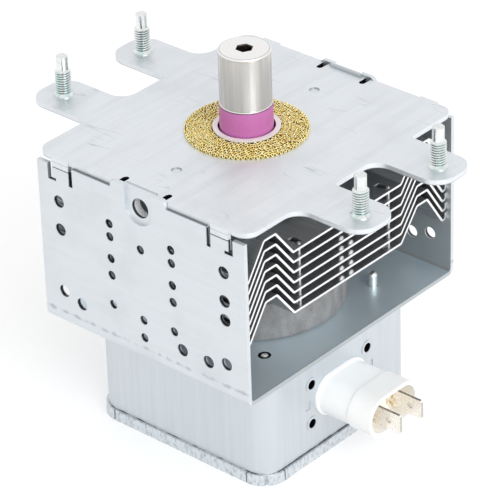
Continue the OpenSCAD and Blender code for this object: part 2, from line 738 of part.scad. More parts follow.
// Seal cups: thin drawn tubes between the pole pieces and the ceramics
module upper_seal_cup() color("#d7d9da") rotate_extrude() {
    translate([cup_r - cup_wall, upper_pole_z]) square([cup_flange_r - cup_r + cup_wall, cup_wall]);
    translate([cup_r - cup_wall, upper_pole_z]) square([cup_wall, ceramic_foot_z - upper_pole_z]);
    translate([ceramic_bore_r, ceramic_foot_z - cup_wall]) square([cup_r - ceramic_bore_r, cup_wall]);
    translate([ring_r - ring_w, ceramic_foot_z - cup_wall]) square([cup_wall, cup_wall + well_depth]);
    translate([ring_r - ring_w, 0]) square([ring_w, ring_h]);
}

module lower_seal_cup() color("#d7d9da") rotate_extrude() {
    in_r = stem_r + press_gap;
    translate([in_r, lower_pole_z - cup_wall]) square([cup_flange_r - in_r, cup_wall]);
    translate([in_r, lower_cup_foot_z]) square([cup_wall, lower_pole_z - lower_cup_foot_z]);
}

// Ring magnets of sintered ferrite
module magnet(r, z0, h) rotate_extrude() difference() {
    translate([magnet_bore_r, z0]) square([r - magnet_bore_r, h]);
    for (x = [magnet_bore_r, r], z = [z0, z0 + h])
        translate([x, z]) rotate(45) square(magnet_chamfer * sqrt(2), center = true);
}

module upper_magnet() color("#4b4c4e") magnet(upper_magnet_r, upper_pole_z, upper_magnet_h);

module lower_magnet() color("#8d9092") magnet(lower_magnet_r, floor_z, lower_magnet_h);

// Pole pieces: dished iron discs that reach towards the vanes
module pole_section() {
    tip_r = pole_hole_r + pole_t;
    polygon([[anode_r, 0], [anode_r, pole_t], [dish_r, pole_t], [tip_r, pole_t - pole_depth],
             [pole_hole_r, pole_t - pole_depth], [pole_hole_r, -pole_depth], [tip_r, -pole_depth],
             [dish_r + pole_t, 0]]);
}

module upper_pole_piece() color("#9a9c9e") difference() {
    translate([0, 0, anode_top_z]) rotate_extrude() pole_section();
    translate([lead_gate_x, 0, anode_top_z - pole_depth - cut])
        cylinder(r = antenna_lead_r + lead_gate_gap, h = pole_depth + pole_t + 2 * cut);
}

module lower_pole_piece() color("#9a9c9e")
    translate([0, 0, anode_bottom_z]) mirror([0, 0, 1]) rotate_extrude() pole_section();

module anode_cylinder() color("#b87333") ring(anode_r, anode_in_r, anode_bottom_z, anode_h);

// Vanes: radial plates, notched for the straps that join every second one
module strap_notch(r, depth)
    ring(r + strap_t / 2 + free_gap, r - strap_t / 2 - free_gap, vane_h / 2 - depth, depth + cut);

module vane(i) color("#b87333") translate([0, 0, tube_mid_z]) difference() {
    even = i % 2;
    rotate(360 * (i - 1) / vane_count) intersection() {
        translate([vane_tip_r, -vane_t / 2, -vane_h / 2]) cube([anode_r - vane_tip_r, vane_t, vane_h]);
        translate([0, 0, -vane_h]) cylinder(r = anode_in_r, h = 2 * vane_h);
    }
    for (s = [0, 1]) mirror([0, 0, s]) {
        strap_notch(inner_strap_r, strap_h + free_gap * even);
        strap_notch(outer_strap_r, strap_h + free_gap * (1 - even));
    }
}

module strap(r, side)
    translate([0, 0, tube_mid_z]) mirror([0, 0, side])
        ring(r + strap_t / 2, r - strap_t / 2, vane_h / 2 - strap_h, strap_h);

module upper_inner_strap() color("#c9803f") strap(inner_strap_r, 0);
module upper_outer_strap() color("#c9803f") strap(outer_strap_r, 0);
module lower_inner_strap() color("#c9803f") strap(inner_strap_r, 1);
module lower_outer_strap() color("#c9803f") strap(outer_strap_r, 1);

// Cathode: a coiled filament between two end hats, on two leads
module filament() color("#6f7072") {
    rise = hat_gap - 2 * filament_wire_r - 2 * press_gap;
    steps = filament_turns * wire_steps;
    wire([for (k = [0 : steps])
        let (q = 360 * k / wire_steps)
        [filament_r * cos(q), filament_r * sin(q), tube_mid_z - rise / 2 + rise * k / steps]],
        filament_wire_r, [0, 0, 1]);
}

module upper_end_hat() color("#8a8b8d") ring(hat_r, lead_r + press_gap, upper_hat_z, hat_t);

module lower_end_hat() color("#8a8b8d") ring(hat_r, lead_r + free_gap, lower_hat_z, hat_t);

module centre_lead() color("#8a8b8d")
    translate([0, 0, stem_foot_z]) cylinder(r = lead_r, h = upper_hat_z + hat_t - stem_foot_z);

module side_lead() color("#8a8b8d")
    translate([0, side_lead_y, stem_foot_z]) cylinder(r = lead_r, h = lower_hat_z - stem_foot_z);

// Stem: the ceramic plug that the leads pass, with two terminal plates below
module stem_ceramic() color("#e3dce4") difference() {
    translate([0, 0, stem_foot_z]) cylinder(r = stem_r, h = stem_top_z - stem_foot_z);
    for (y = [0, side_lead_y]) translate([0, y, stem_foot_z - cut])
        cylinder(r = lead_r + press_gap, h = stem_top_z - stem_foot_z + 2 * cut);
}

module terminal_plate(s) {
    split = side_lead_y / 2;
    translate([0, 0, stem_foot_z - terminal_t]) linear_extrude(terminal_t) intersection() {
        circle(terminal_r);
        translate([-terminal_r, split + s * terminal_split / 2 + (s - 1) * terminal_r])
            square(2 * terminal_r);
    }
}

module stem_terminal_1() color("#c9c9c9") terminal_plate(-1);
module stem_terminal_2() color("#c9c9c9") terminal_plate(1);

// Fins: one folded sheet each, pressed over the anode
function fin_half() = [[flat_y, 0], [ridge_in_y, ridge_h], [ridge_out_y, ridge_h],
                       [valley_y, -valley_drop], [lip_y, -valley_drop + fin_bend_r / 2], [lip_y, lip_h - valley_drop]];
function fin_path() = let (h = fin_half(), n = len(h))
    concat([for (i = [n - 1 : -1 : 0]) [-h[i].x, h[i].y]], h);

module fin_z(i) translate([0, 0, anode_top_z - fin_drop - (fin_count - i) * fin_pitch]) children();

module half_moon(x, y)
    translate([x, y, 0]) rotate([90, 0, 90]) translate([0, 0, -fin_t / 2]) linear_extrude(fin_t) difference() {
        circle(moon_r);
        translate([-2 * moon_r, -4 * moon_r]) square(4 * moon_r);
    }

module fin(i) color("#c8ccce") fin_z(i) {
    spacer_x = fin_l / 2 - spacer_inset;
    difference() {
        union() {
            rotate([90, 0, 90]) translate([0, 0, -fin_l / 2]) linear_extrude(fin_l)
                polygon(sheet_section(rounded_path(fin_path(), fin_bend_r), fin_t));
            cylinder(r = anode_r + press_gap + collar_t, h = fin_collar_h);
        }
        translate([0, 0, -cut]) cylinder(r = anode_r + press_gap, h = fin_collar_h + 2 * cut);
        for (a = [-1, 1], b = [-1, 1])
            translate([a * (spacer_x - window_l / 2), b * (spacer_y - window_w / 2), 0])
                cube([window_l, window_w, 2 * fin_t], center = true);
    }
    for (a = [-1, 1]) {
        for (b = [-1, 1])
            translate([a * (spacer_x + fin_t / 2) - fin_t / 2, b * (spacer_y - spacer_w / 2) - spacer_w / 2, 0])
                cube([fin_t, spacer_w, i == fin_count ? fin_t : spacer_h + fin_t / 2]);
        for (b = [-1, 1]) half_moon(a * (fin_l / 2 - moon_r), b * moon_y);
    }
}

// Filter box: a drawn case under the yoke, closed by a lid with a slit rim
module filter_box() color("#d7dbde") difference() {
    translate([0, 0, yoke_z - box_h]) linear_extrude(box_h) rounded_rect(box_w, box_d, box_corner_r);
    translate([0, 0, yoke_z - box_h - cut]) linear_extrude(box_h - box_t + cut)
        rounded_rect(box_w - 2 * box_t, box_d - 2 * box_t, box_corner_r - box_t);
    translate([0, 0, yoke_z - box_t - cut]) cylinder(r = floor_hole_r, h = box_t + 2 * cut);
    for (a = [0, 180]) rotate(a) {
        translate([fastener_x, fastener_y, yoke_z - box_t - cut]) cylinder(r = peg_r + press_gap, h = box_t + 2 * cut);
        translate([fastener_x, -fastener_y, yoke_z - box_t - cut])
            cylinder(r = clinch_r + press_gap, h = box_t + 2 * cut);
    }
    obround_x(conn_w + 2 * press_gap, conn_h + 2 * press_gap, wall_in_x - cut, box_t + 2 * cut);
    eyelet_places() translate([wall_in_x - cut, 0, 0]) rotate([0, 90, 0])
        cylinder(r = eyelet_r + press_gap, h = box_t + 2 * cut);
    for (s = [-1, 1]) translate([box_face_x, s * stake_y, conn_z])
        cube([2 * stake_depth, stake_w, stake_h], center = true);
}

module filter_lid() color("#c9ced2") difference() {
    rim = rim_gap + lid_t;
    translate([0, 0, lid_z]) linear_extrude(rim_h) rounded_rect(box_w + 2 * rim, box_d + 2 * rim, box_corner_r + rim);
    translate([0, 0, lid_z + lid_t]) linear_extrude(rim_h)
        rounded_rect(box_w + 2 * rim_gap, box_d + 2 * rim_gap, box_corner_r + rim_gap);
    for (x = [-1, 1], y = [-1, 1]) {
        translate([x * (box_w / 2 - box_corner_r), y * (box_d / 2 + rim), lid_z + rim_h / 2])
            cube([rim_slit, 2 * lid_t, rim_h + cut], center = true);
        translate([x * (box_w / 2 + rim), y * (box_d / 2 - box_corner_r), lid_z + rim_h / 2])
            cube([2 * lid_t, rim_slit, rim_h + cut], center = true);
        translate([x * (box_w / 2 - box_corner_r), y * (box_d / 2 - box_corner_r), lid_z - cut])
            rotate(atan2(y, x)) translate([box_corner_r + rim, 0]) rotate(45)
                linear_extrude(rim_h + 2 * cut) square(sqrt(2) * lid_t, center = true);
    }
}

// Locating pegs and clinch rivets hold the box under the yoke
module peg(r, top_z, dome) {
    translate([0, 0, yoke_z - box_t - fastener_head_t]) cylinder(r = fastener_head_r, h = fastener_head_t);
    translate([0, 0, yoke_z - box_t - fastener_head_t / 2])
        cylinder(r = r, h = top_z - dome - yoke_z + box_t + fastener_head_t / 2);
    translate([0, 0, top_z - dome]) low_dome(r, dome);
}

// A low dome of height h on a circle of radius r
module low_dome(r, h) {
    ball = (r * r + h * h) / (2 * h);
    intersection() {
        translate([0, 0, h - ball]) sphere(ball);
        cylinder(r = r, h = h + cut);
    }
}

module locating_pegs() color("#d3d7d9")
    for (a = [0, 180]) rotate(a) translate([fastener_x, fastener_y]) peg(peg_r, floor_z + peg_h, peg_r);

module clinch_rivets() color("#d3d7d9")
    for (a = [0, 180]) rotate(a) translate([fastener_x, -fastener_y]) peg(clinch_r, floor_z + clinch_r / 4, clinch_r / 2);

// Connector: a moulded two-step body with an open nose, on a flange inside the box
module eyelet_places()
    for (y = [-1, 1], z = [-1, 1])
        translate([0, y * eyelet_pitch_y / 2, conn_z + z * eyelet_pitch_z / 2]) children();

module blade(s, gap)
    translate([blade_back_x, s * blade_pitch / 2 - blade_t / 2 - gap, conn_z - blade_w / 2 - gap])
        cube([blade_end_x - blade_back_x, blade_t + 2 * gap, blade_w + 2 * gap]);

module connector_body() color("#f1f1f1") difference() {
    union() {
        obround_x(conn_w, conn_h, box_face_x - conn_tail_l, conn_tail_l + conn_root_l);
        obround_x(conn_w + 2 * conn_foot, conn_h + 2 * conn_foot, box_face_x, conn_foot_t);
        obround_x(conn_w + 2 * conn_step, conn_h + 2 * conn_step, box_face_x + conn_root_l, conn_nose_l);
    }
    obround_x(conn_w + 2 * conn_step - 2 * nose_wall, conn_h + 2 * conn_step - 2 * nose_wall,
              conn_end_x - nose_depth, nose_depth + cut);
    for (s = [-1, 1]) blade(s, press_gap);
}

module connector_flange() color("#c5cacd") {
    ear = eyelet_head_r + 0.6;
    difference() {
        translate([wall_in_x - flange_t, 0, conn_z]) rotate([90, 0, 90]) linear_extrude(flange_t)
            rounded_rect(eyelet_pitch_y + 2 * ear, eyelet_pitch_z + 2 * ear, ear);
        obround_x(conn_w + 2 * press_gap, conn_h + 2 * press_gap, wall_in_x - flange_t - cut, flange_t + 2 * cut);
        eyelet_places() translate([wall_in_x - flange_t - cut, 0, 0]) rotate([0, 90, 0])
            cylinder(r = eyelet_r + press_gap, h = flange_t + 2 * cut);
    }
}

module flange_eyelets() color("#dfe3e5")
    eyelet_places() translate([wall_in_x - flange_t - eyelet_head_t, 0, 0]) rotate([0, 90, 0]) {
        grip = flange_t + box_t;
        difference() {
            union() {
                cylinder(r = eyelet_head_r, h = eyelet_head_t);
                cylinder(r = eyelet_r, h = grip + 2 * eyelet_head_t);
                translate([0, 0, grip + eyelet_head_t]) cylinder(r = eyelet_head_r, h = eyelet_head_t);
            }
            translate([0, 0, -cut]) cylinder(r = eyelet_bore_r, h = grip + 2 * eyelet_head_t + 2 * cut);
        }
    }

// Blade terminals with a bevelled tip and a latch hole
module blade_terminal(s) color("#d8cbb0") {
    tip = blade_t / 2;
    difference() {
        blade(s, 0);
        translate([blade_end_x - blade_hole_inset, s * blade_pitch / 2 + blade_t, conn_z]) rotate([90, 0, 0])
            cylinder(r = blade_hole_r, h = 2 * blade_t);
        for (e = [-1, 1]) translate([blade_end_x, s * blade_pitch / 2, conn_z + e * blade_w / 2])
            rotate([0, 45, 0]) cube([2 * tip, 2 * blade_t, 2 * tip], center = true);
    }
}

module blade_1() blade_terminal(-1);
module blade_2() blade_terminal(1);

// Chokes: a wire coil on a ferrite rod, from a stem plate to a blade
module choke_core(s) color("#3c3d3f")
    translate([-coil_back - (core_l - coil_l) / 2, s * choke_y, choke_z]) rotate([0, 90, 0])
        cylinder(r = coil_r - coil_wire_r - free_gap / 2, h = core_l);

module choke_coil(s) color("#b5652b") mirror([0, s < 0 ? 1 : 0, 0]) {
    sweep = 360 * coil_turns + 180;
    steps = wire_steps * (coil_turns + 0.5);
    blade_face_y = blade_pitch / 2 + blade_t / 2 + press_gap;
    wire(concat(
        [[-coil_back, terminal_lead_y, choke_z + coil_r], [-coil_back, choke_y - 2 * coil_wire_r, choke_z + coil_r]],
        [for (k = [0 : steps]) let (q = 90 - sweep * k / steps)
            [-coil_back + coil_l * k / steps, choke_y + coil_r * cos(q), choke_z + coil_r * sin(q)]],
        [[coil_end_x, choke_y - 2 * coil_wire_r, choke_z - coil_r],
         [coil_end_x, blade_face_y, choke_z - coil_r]]),
        coil_wire_r, [1, 0, 0]);
}

module choke_core_1() choke_core(-1);
module choke_core_2() choke_core(1);
module choke_coil_1() choke_coil(-1);
module choke_coil_2() choke_coil(1);

yoke();
top_plate();
mounting_studs();
rf_gasket();
antenna_cap();
exhaust_cup();
exhaust_tube();
antenna_lead();
antenna_ceramic();
upper_seal_cup();
upper_magnet();
upper_pole_piece();
anode_cylinder();
upper_inner_strap();
upper_outer_strap();
lower_inner_strap();
lower_outer_strap();
filament();
upper_end_hat();
lower_end_hat();
centre_lead();
side_lead();
lower_pole_piece();
lower_seal_cup();
lower_magnet();
stem_ceramic();
stem_terminal_1();
stem_terminal_2();
filter_box();
filter_lid();
locating_pegs();
clinch_rivets();
connector_body();
connector_flange();
flange_eyelets();
blade_1();
blade_2();
choke_core_1();
choke_core_2();
choke_coil_1();
choke_coil_2();
for (i = [1 : fin_count]) fin(i);
for (i = [1 : vane_count]) vane(i);
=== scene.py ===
"""Looks of an oven magnetron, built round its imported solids.

The frame gives the solids, in metres, with the origin on the antenna's axis at the mounting face.
"""

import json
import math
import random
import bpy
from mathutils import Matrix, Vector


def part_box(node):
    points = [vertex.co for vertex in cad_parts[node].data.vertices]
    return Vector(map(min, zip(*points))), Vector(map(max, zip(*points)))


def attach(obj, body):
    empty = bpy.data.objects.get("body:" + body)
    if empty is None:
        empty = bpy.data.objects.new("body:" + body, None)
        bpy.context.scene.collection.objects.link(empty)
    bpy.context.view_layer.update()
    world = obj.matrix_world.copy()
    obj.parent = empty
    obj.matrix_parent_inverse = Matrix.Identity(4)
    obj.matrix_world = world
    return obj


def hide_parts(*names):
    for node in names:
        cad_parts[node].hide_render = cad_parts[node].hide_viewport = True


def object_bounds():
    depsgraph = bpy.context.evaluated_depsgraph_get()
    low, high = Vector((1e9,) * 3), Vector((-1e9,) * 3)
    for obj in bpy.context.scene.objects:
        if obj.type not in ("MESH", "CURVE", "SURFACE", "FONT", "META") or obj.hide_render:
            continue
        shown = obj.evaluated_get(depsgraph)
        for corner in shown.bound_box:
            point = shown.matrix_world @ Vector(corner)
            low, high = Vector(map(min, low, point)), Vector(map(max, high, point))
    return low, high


bl_info = {
    "name": "Oven magnetron",
    "version": (1, 0, 0),
    "blender": (4, 5, 0),
    "location": "View3D > Sidebar > Magnetron",
    "description": "Dresses the solids of an oven magnetron with edges, threads, weave and finishes",
    "category": "Object",
}

import bmesh
import bpy
from bpy.props import FloatProperty, FloatVectorProperty, PointerProperty
from mathutils import Matrix, Vector

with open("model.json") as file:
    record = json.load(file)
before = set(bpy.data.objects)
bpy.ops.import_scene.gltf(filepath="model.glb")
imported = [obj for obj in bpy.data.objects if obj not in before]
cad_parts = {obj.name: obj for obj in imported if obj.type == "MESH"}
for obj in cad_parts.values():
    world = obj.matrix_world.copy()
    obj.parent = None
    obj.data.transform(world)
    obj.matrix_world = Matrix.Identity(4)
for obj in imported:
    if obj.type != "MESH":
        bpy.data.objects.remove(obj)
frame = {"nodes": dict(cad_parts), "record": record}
CAD_BOX = [list(corner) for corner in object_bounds()]
NODES = frame["nodes"]
MOUNTS = {mount["name"]: mount for mount in frame["record"]["mounts"]}
BODY = "root"
MM = 0.001
# How far a mask reaches past a flat face, and past the rounded edge of a hole
SKIN = 0.05 * MM
RIM = 0.12 * MM
# Points closer than this are one point in a copied solid, and in a spun shape
SOLID_WELD = 0.002 * MM
SPUN_WELD = 0.001 * MM
# The usual span of a noise, over which a cloudy finish goes from its tint to its shade
CLOUDS = (0.35, 0.7)
OVER = "GREATER_THAN"
UNDER = "LESS_THAN"
# Widths of the painted shade lines, and of the scuff band, that the finishes draw
MARK_LINE = 0.35 * MM
SEAM_LINE = 0.25 * MM
LATCH_LINE = 0.3 * MM
CAP_LINE = 0.18 * MM
SCUFF_BAND = 2.6 * MM
# Heights at which the shade over the cap's foot starts and is full
CAP_FOOT = (0.32 * MM, 0.25 * MM)


def linear(hex_colour):
    """An sRGB hex colour as linear red, green and blue."""
    values = [int(hex_colour[i:i + 2], 16) / 255 for i in (1, 3, 5)]
    return tuple(v / 12.92 if v <= 0.04045 else ((v + 0.055) / 1.055) ** 2.4 for v in values)


def length(name, description, millimetres):
    """A length property, given in millimetres and held in metres."""
    return FloatProperty(name=name, description=description, default=millimetres * MM,
                         unit="LENGTH", precision=5)


def colour(name, description, hex_colour):
    """A colour property, given as an sRGB hex value."""
    return FloatVectorProperty(name=name, description=description, default=linear(hex_colour),
                               subtype="COLOR", min=0, max=1)


class MagnetronSizes(bpy.types.PropertyGroup):
    """Sizes of what is added to the solids."""

    bend_line: length("Bend line", "Height of the scuffs above the foot of the yoke's walls", 4.4)
    yoke_sheet: length("Yoke sheet", "Thickness of the yoke's sheet", 1.4)
    lug_reach: length("Lug reach", "Radius of the pressed pocket round a lug's hole", 9)
    post_place: length("Post place", "Distance of the posts at the wall's ends from the middle", 35.7)
    lug_half: length("Lug half", "Half the width of a lug", 10.8)
    lug_collar: length("Lug collar", "Depth of the drawn collar behind a lug's hole", 1.7)
    collar_wall: length("Collar wall", "Wall of that collar", 0.6)
    # In front of the collar, the hole's wall carries the yoke's painted shade
    collar_entry: length("Collar entry", "Depth of the dark sheared edge in front of that collar", 0.85)
    collar_skin: length("Collar skin", "Thickness of the drawn skin inside a lug's hole", 0.05)
    plate_sheet: length("Plate sheet", "Thickness of the top plate", 1.6)
    relief_place: length("Relief place", "Distance of the plate's relief cuts from a lug's middle", 8.3)
    relief_width: length("Relief width", "Width of those relief cuts", 2)
    relief_depth: length("Relief depth", "Length of those relief cuts", 3.8)
    rivet_head: length("Rivet head", "Radius of the rivets' hidden heads", 2.8)
    rivet_core: length("Rivet core", "Radius of the flat middle of a clinch rivet", 0.95)
    rivet_gap: length("Rivet gap", "Outer radius of the open ring round a clinch rivet", 1.95)
    mark_place: length("Mark place", "Distance of the plate's press marks from the antenna's axis", 30.8)
    mark_radius: length("Mark radius", "Radius of the plate's press marks", 1.5)
    moon_inset: length("Lance inset", "Distance of the half-moon lances from a fin's end", 1.2)
    moon_place: length("Lance place", "Distance of the half-moon lances from the middle", 2.15)
    spacer_inset: length("Spacer inset", "Distance of the spacer tabs from a fin's end", 1.65)
    spacer_place: length("Spacer place", "Distance of the spacer tabs from the middle", 20.3)
    spacer_reach: length("Spacer reach", "Half the width of a spacer tab", 0.6)
    # The dark seam is painted shade
    lid_seam: length("Lid seam", "Height of the dark seam over the lid's rim", 0.25)
    sheet_edge: length("Sheet edge", "Radius of the rubbed edges of the steel sheets", 0.22)
    moulded_edge: length("Moulded edge", "Radius of the connector's moulded edges", 0.16)
    thread_pitch: length("Thread pitch", "Rise of one turn of the studs' thread", 0.8)
    thread_depth: length("Thread depth", "Depth of the studs' thread", 0.45)
    stud_skirt: length("Stud skirt", "Radius of the flared skirt at a stud's foot", 3.1)
    stud_neck: length("Stud neck", "Height of the plain neck below the thread", 1.3)
    stud_dog: length("Stud point", "Length of the smooth point above the thread", 4.5)
    stud_cone: length("Stud cone", "Height of the cone between thread and point", 0.5)
    stud_dog_radius: length("Point radius", "Radius of the studs' smooth point", 1.82)
    cap_bead: length("Cap bead", "Radius of the rolled bead at the foot of the antenna's cap", 0.28)
    cap_groove: length("Cap groove", "Depth of the fine grooves at the cap's bead and shoulder", 0.12)
    cap_edge: length("Cap edge", "Radius of the cap's upper edge", 0.55)
    cap_wall: length("Cap wall", "Wall of the antenna's cap", 0.6)
    cap_hole: length("Cap hole", "Corner radius of the six-sided hole in the cap", 2.75)
    # The dark there is braze and painted shade
    braze_depth: length("Braze depth", "Depth below the seal ring's rim where the dark braze starts", 0.35)
    gasket_inside: length("Gasket inside", "Inner radius of the knitted gasket", 10.15)
    gasket_wire: length("Gasket wire", "Radius of the knitted wire", 0.18)
    gasket_loop: length("Gasket loop", "Width of one knitted loop", 1.45)
    gasket_row: length("Gasket row", "Distance between the rows of loops", 1.2)
    latch_inset: length("Latch inset", "Distance of a blade's latch hole from its end", 4.4)
    latch_radius: length("Latch radius", "Radius of a blade's latch hole", 0.85)
    nose_wall: length("Nose wall", "Wall round the connector's open nose", 1.3)


class MagnetronColours(bpy.types.PropertyGroup):
    """Colours of the finishes."""

    plate: colour("Plate zinc", "Zinc-plated sheet of the top plate", "#E1E5E9")
    zinc: colour("Yoke zinc", "Zinc-plated sheet of the yoke", "#D9DEE2")
    # Painted shade: a darker copy of the zinc for the yoke's inner faces
    inner_shade_zinc: colour("Inner zinc", "Duller plating on the inner faces of the yoke", "#BAC1C4")
    # Painted light and a painted bluish reflection on the yoke's floor
    floor_reflection_zinc: colour("Floor zinc", "Bluish plating on the yoke's floor", "#DDECF4")
    scratch: colour("Scratch", "Fine scratches in the plating", "#C3C9CF")
    # Painted shade in the corner of each press mark
    pressed: colour("Pressed corner", "Dark corner of the plate's press marks", "#AEB5BA")
    # Bare steel of the punched edges, darkened further as painted shade in the holes
    punched: colour("Punched edge", "Bare steel inside the yoke's punched holes", "#3F4449")
    seam: colour("Seam", "Shade in the seams between two sheets", "#565D62")
    scuff: colour("Scuff", "Grey scuffs that the press left above the yoke's bend", "#B9C0C5")
    # Pale zinc; on the collars it is painted paler as a painted highlight
    rubbed: colour("Rubbed zinc", "Pale zinc of the drawn collars and the rivets", "#F2F4F6")
    drawn: colour("Drawn zinc", "Zinc-plated sheet of the filter box", "#D0D6DB")
    crimp_shade: colour("Crimp shade", "Dents of the lid's crimped rim", "#AFB7BD")
    stud_zinc: colour("Stud zinc", "Plated studs, pegs and rivets", "#ECEFEE")
    thread_zinc: colour("Thread zinc", "Greenish passivated bands of the studs", "#CDDFDC")
    # Painted shade at the root of the studs' thread
    thread_root_shade: colour("Thread root", "Oil left at the root of the studs' thread", "#80918F")
    aluminium: colour("Aluminium", "Rolled aluminium of the fins", "#BFC2C4")
    # Pale sheared metal, painted brighter as a painted highlight
    sheared: colour("Sheared edge", "Bright sheared ends of the fins", "#F6F7F8")
    ferrite: colour("Ferrite", "Sintered ferrite of the magnets", "#959697")
    ferrite_shade: colour("Ferrite shade", "Warmer, darker mottle of the ferrite", "#7F7D7C")
    brass: colour("Brass wire", "Knitted wire of the gasket", "#FFEE98")
    # Painted glints on the wire
    painted_brass_glint: colour("Brass glint", "Brightest loops of the wire", "#FFFACC")
    brass_shade: colour("Brass shade", "Duller stretches of the wire", "#E8BF4C")
    # Painted shade in the gaps between the loops
    brass_depth_shade: colour("Brass depth", "Packed wire below the loops", "#553C0E")
    nickel: colour("Nickel", "Drawn antenna cap", "#D6D2CD")
    groove: colour("Cap groove", "Shade at the cap's foot and round its top", "#6B615D")
    # Painted highlight on the cap's bead and top
    nickel_top_highlight: colour("Nickel top", "Rubbed top of the antenna cap", "#F0EFEE")
    alumina: colour("Tinted alumina", "Ceramic under the antenna cap", "#BE6CAB")
    seal: colour("Seal ring", "Plated ring round the ceramic's foot", "#ECE5E4")
    # Braze and painted shade in the seal ring's well, and painted shade in cuts, bores and gaps elsewhere
    braze: colour("Braze", "Dark braze, deep bores and open gaps", "#1E1C20")
    plastic: colour("Connector", "White moulded connector", "#FBFBFA")
    plastic_inside: colour("Connector inside", "Cream filling inside the connector's nose", "#FEFBF4")
    tin: colour("Tin", "Tinned brass blades", "#FAF5EC")
    tin_thin: colour("Thin tin", "Warm brass where the tin is thin", "#C9AE74")
    # Painted shade on the blades' edges and round their latch holes
    tin_edge_shade: colour("Tin edge", "Sheared edges of the blades", "#8E877B")
    copper: colour("Copper", "Copper inside the tube", "#C27B4E")


class MagnetronSettings(bpy.types.PropertyGroup):
    """All settings of the magnetron."""

    sizes: PointerProperty(type=MagnetronSizes)
    colours: PointerProperty(type=MagnetronColours)


def settings():
    """The scene's settings of the magnetron."""
    return bpy.context.scene.magnetron


def palette():
    """The colours and the sizes that the finishes use."""
    return settings().colours, settings().sizes


# Materials

def add_node(tree, kind, inputs=None, **values):
    """Adds a node, sets its values, and links or sets its inputs."""
    node = tree.nodes.new(kind)
    for name, value in values.items():
        setattr(node, name, value)
    for name, source in (inputs or {}).items():
        if isinstance(source, bpy.types.NodeSocket):
            tree.links.new(source, node.inputs[name])
        else:
            node.inputs[name].default_value = source
    return node


def finish(name, build):
    """The material of that name, built on first use from what its maker gives the shader."""
    material = bpy.data.materials.get(name)
    if material is None:
        material = bpy.data.materials.new(name)
        material.use_nodes = True
        tree = material.node_tree
        tree.nodes.clear()
        place = add_node(tree, "ShaderNodeTexCoord").outputs["Object"]
        shader = add_node(tree, "ShaderNodeBsdfPrincipled", build(tree, place))
        add_node(tree, "ShaderNodeOutputMaterial", {"Surface": shader.outputs["BSDF"]})
    return material


def grain(tree, place, millimetres, stretch=(1, 1, 1), detail=3.0):
    """A noise whose features are that wide, drawn out along the axes with a small stretch."""
    drawn = add_node(tree, "ShaderNodeMapping", {"Vector": place, "Scale": stretch}).outputs["Vector"]
    return add_node(tree, "ShaderNodeTexNoise", {
        "Vector": drawn, "Scale": 1 / (millimetres * MM), "Detail": detail}).outputs["Fac"]


def patchy(tree, pattern, start, end, tint, shade):
    """The tint where a pattern is at start, the shade where it is at end."""
    amount = add_node(tree, "ShaderNodeMapRange", {
        "Value": pattern, "From Min": start, "From Max": end}).outputs["Result"]
    ends = [c if isinstance(c, bpy.types.NodeSocket) else (*c, 1) for c in (tint, shade)]
    return add_node(tree, "ShaderNodeMix", {"Factor": amount, "A": ends[0], "B": ends[1]},
                    data_type="RGBA").outputs["Result"]


def worn(tree, pattern, limits, tints, roughness, relief=0.0, metallic=1.0):
    """Shader inputs whose colour, roughness and relief follow one pattern between its limits."""
    rough = add_node(tree, "ShaderNodeMapRange", {
        "Value": pattern, "From Min": limits[0], "From Max": limits[1],
        "To Min": roughness[0], "To Max": roughness[1]}).outputs["Result"]
    inputs = {"Base Color": patchy(tree, pattern, *limits, *tints), "Roughness": rough, "Metallic": metallic}
    if relief:
        inputs["Normal"] = add_node(tree, "ShaderNodeBump", {
            "Height": pattern, "Distance": relief * MM}).outputs["Normal"]
    return inputs


def stained(tree, inputs, stains):
    """Shader inputs with stains laid over their colour, each a pattern, its start and end, and a tint."""
    for pattern, start, end, tint in stains:
        inputs["Base Color"] = patchy(tree, pattern, start, end, inputs["Base Color"], tint)
    return inputs


def dulled(tint, share):
    """A tint with that share of its light."""
    return tuple(share * value for value in tint)


def faded(tint, share):
    """A tint and the shade with that share of its light."""
    return tint, dulled(tint, share)


def near(tree, value, middle, width):
    """1 where a value is at the middle, falling to 0 at that distance from it."""
    off = add_node(tree, "ShaderNodeMath", {0: value, 1: middle}, operation="SUBTRACT").outputs[0]
    away = add_node(tree, "ShaderNodeMath", {0: off}, operation="ABSOLUTE").outputs[0]
    return add_node(tree, "ShaderNodeMapRange", {
        "Value": away, "From Max": width, "To Min": 1.0, "To Max": 0.0}).outputs["Result"]


def every(tree, first, *others):
    """Masks multiplied: 1 only where all of them are."""
    for other in others:
        first = add_node(tree, "ShaderNodeMath", {0: first, 1: other}, operation="MULTIPLY").outputs[0]
    return first


def where(tree, *tests):
    """1 where each value passes its test against a limit, and 0 elsewhere."""
    masks = [add_node(tree, "ShaderNodeMath", {0: value, 1: limit}, operation=test).outputs[0]
             for value, test, limit in tests]
    return every(tree, *masks)


def scratches(tree, place):
    """Thin lines along the sheet, where a drawn-out noise crosses its middle, in a few patches."""
    lines = near(tree, grain(tree, place, 7, (0.12, 1, 1), 2.0), 0.5, 0.012)
    few = add_node(tree, "ShaderNodeMapRange", {
        "Value": grain(tree, place, 11), "From Min": 0.54, "From Max": 0.66}).outputs["Result"]
    return every(tree, lines, few)


def from_axis(tree, place, centre, across):
    """The distance from the axis through a centre, with a 1 for each direction across it."""
    off = add_node(tree, "ShaderNodeVectorMath", {0: place, 1: centre},
                   operation="SUBTRACT").outputs["Vector"]
    flat = add_node(tree, "ShaderNodeVectorMath", {0: off, 1: across},
                    operation="MULTIPLY").outputs["Vector"]
    return add_node(tree, "ShaderNodeVectorMath", {0: flat}, operation="LENGTH").outputs["Value"]


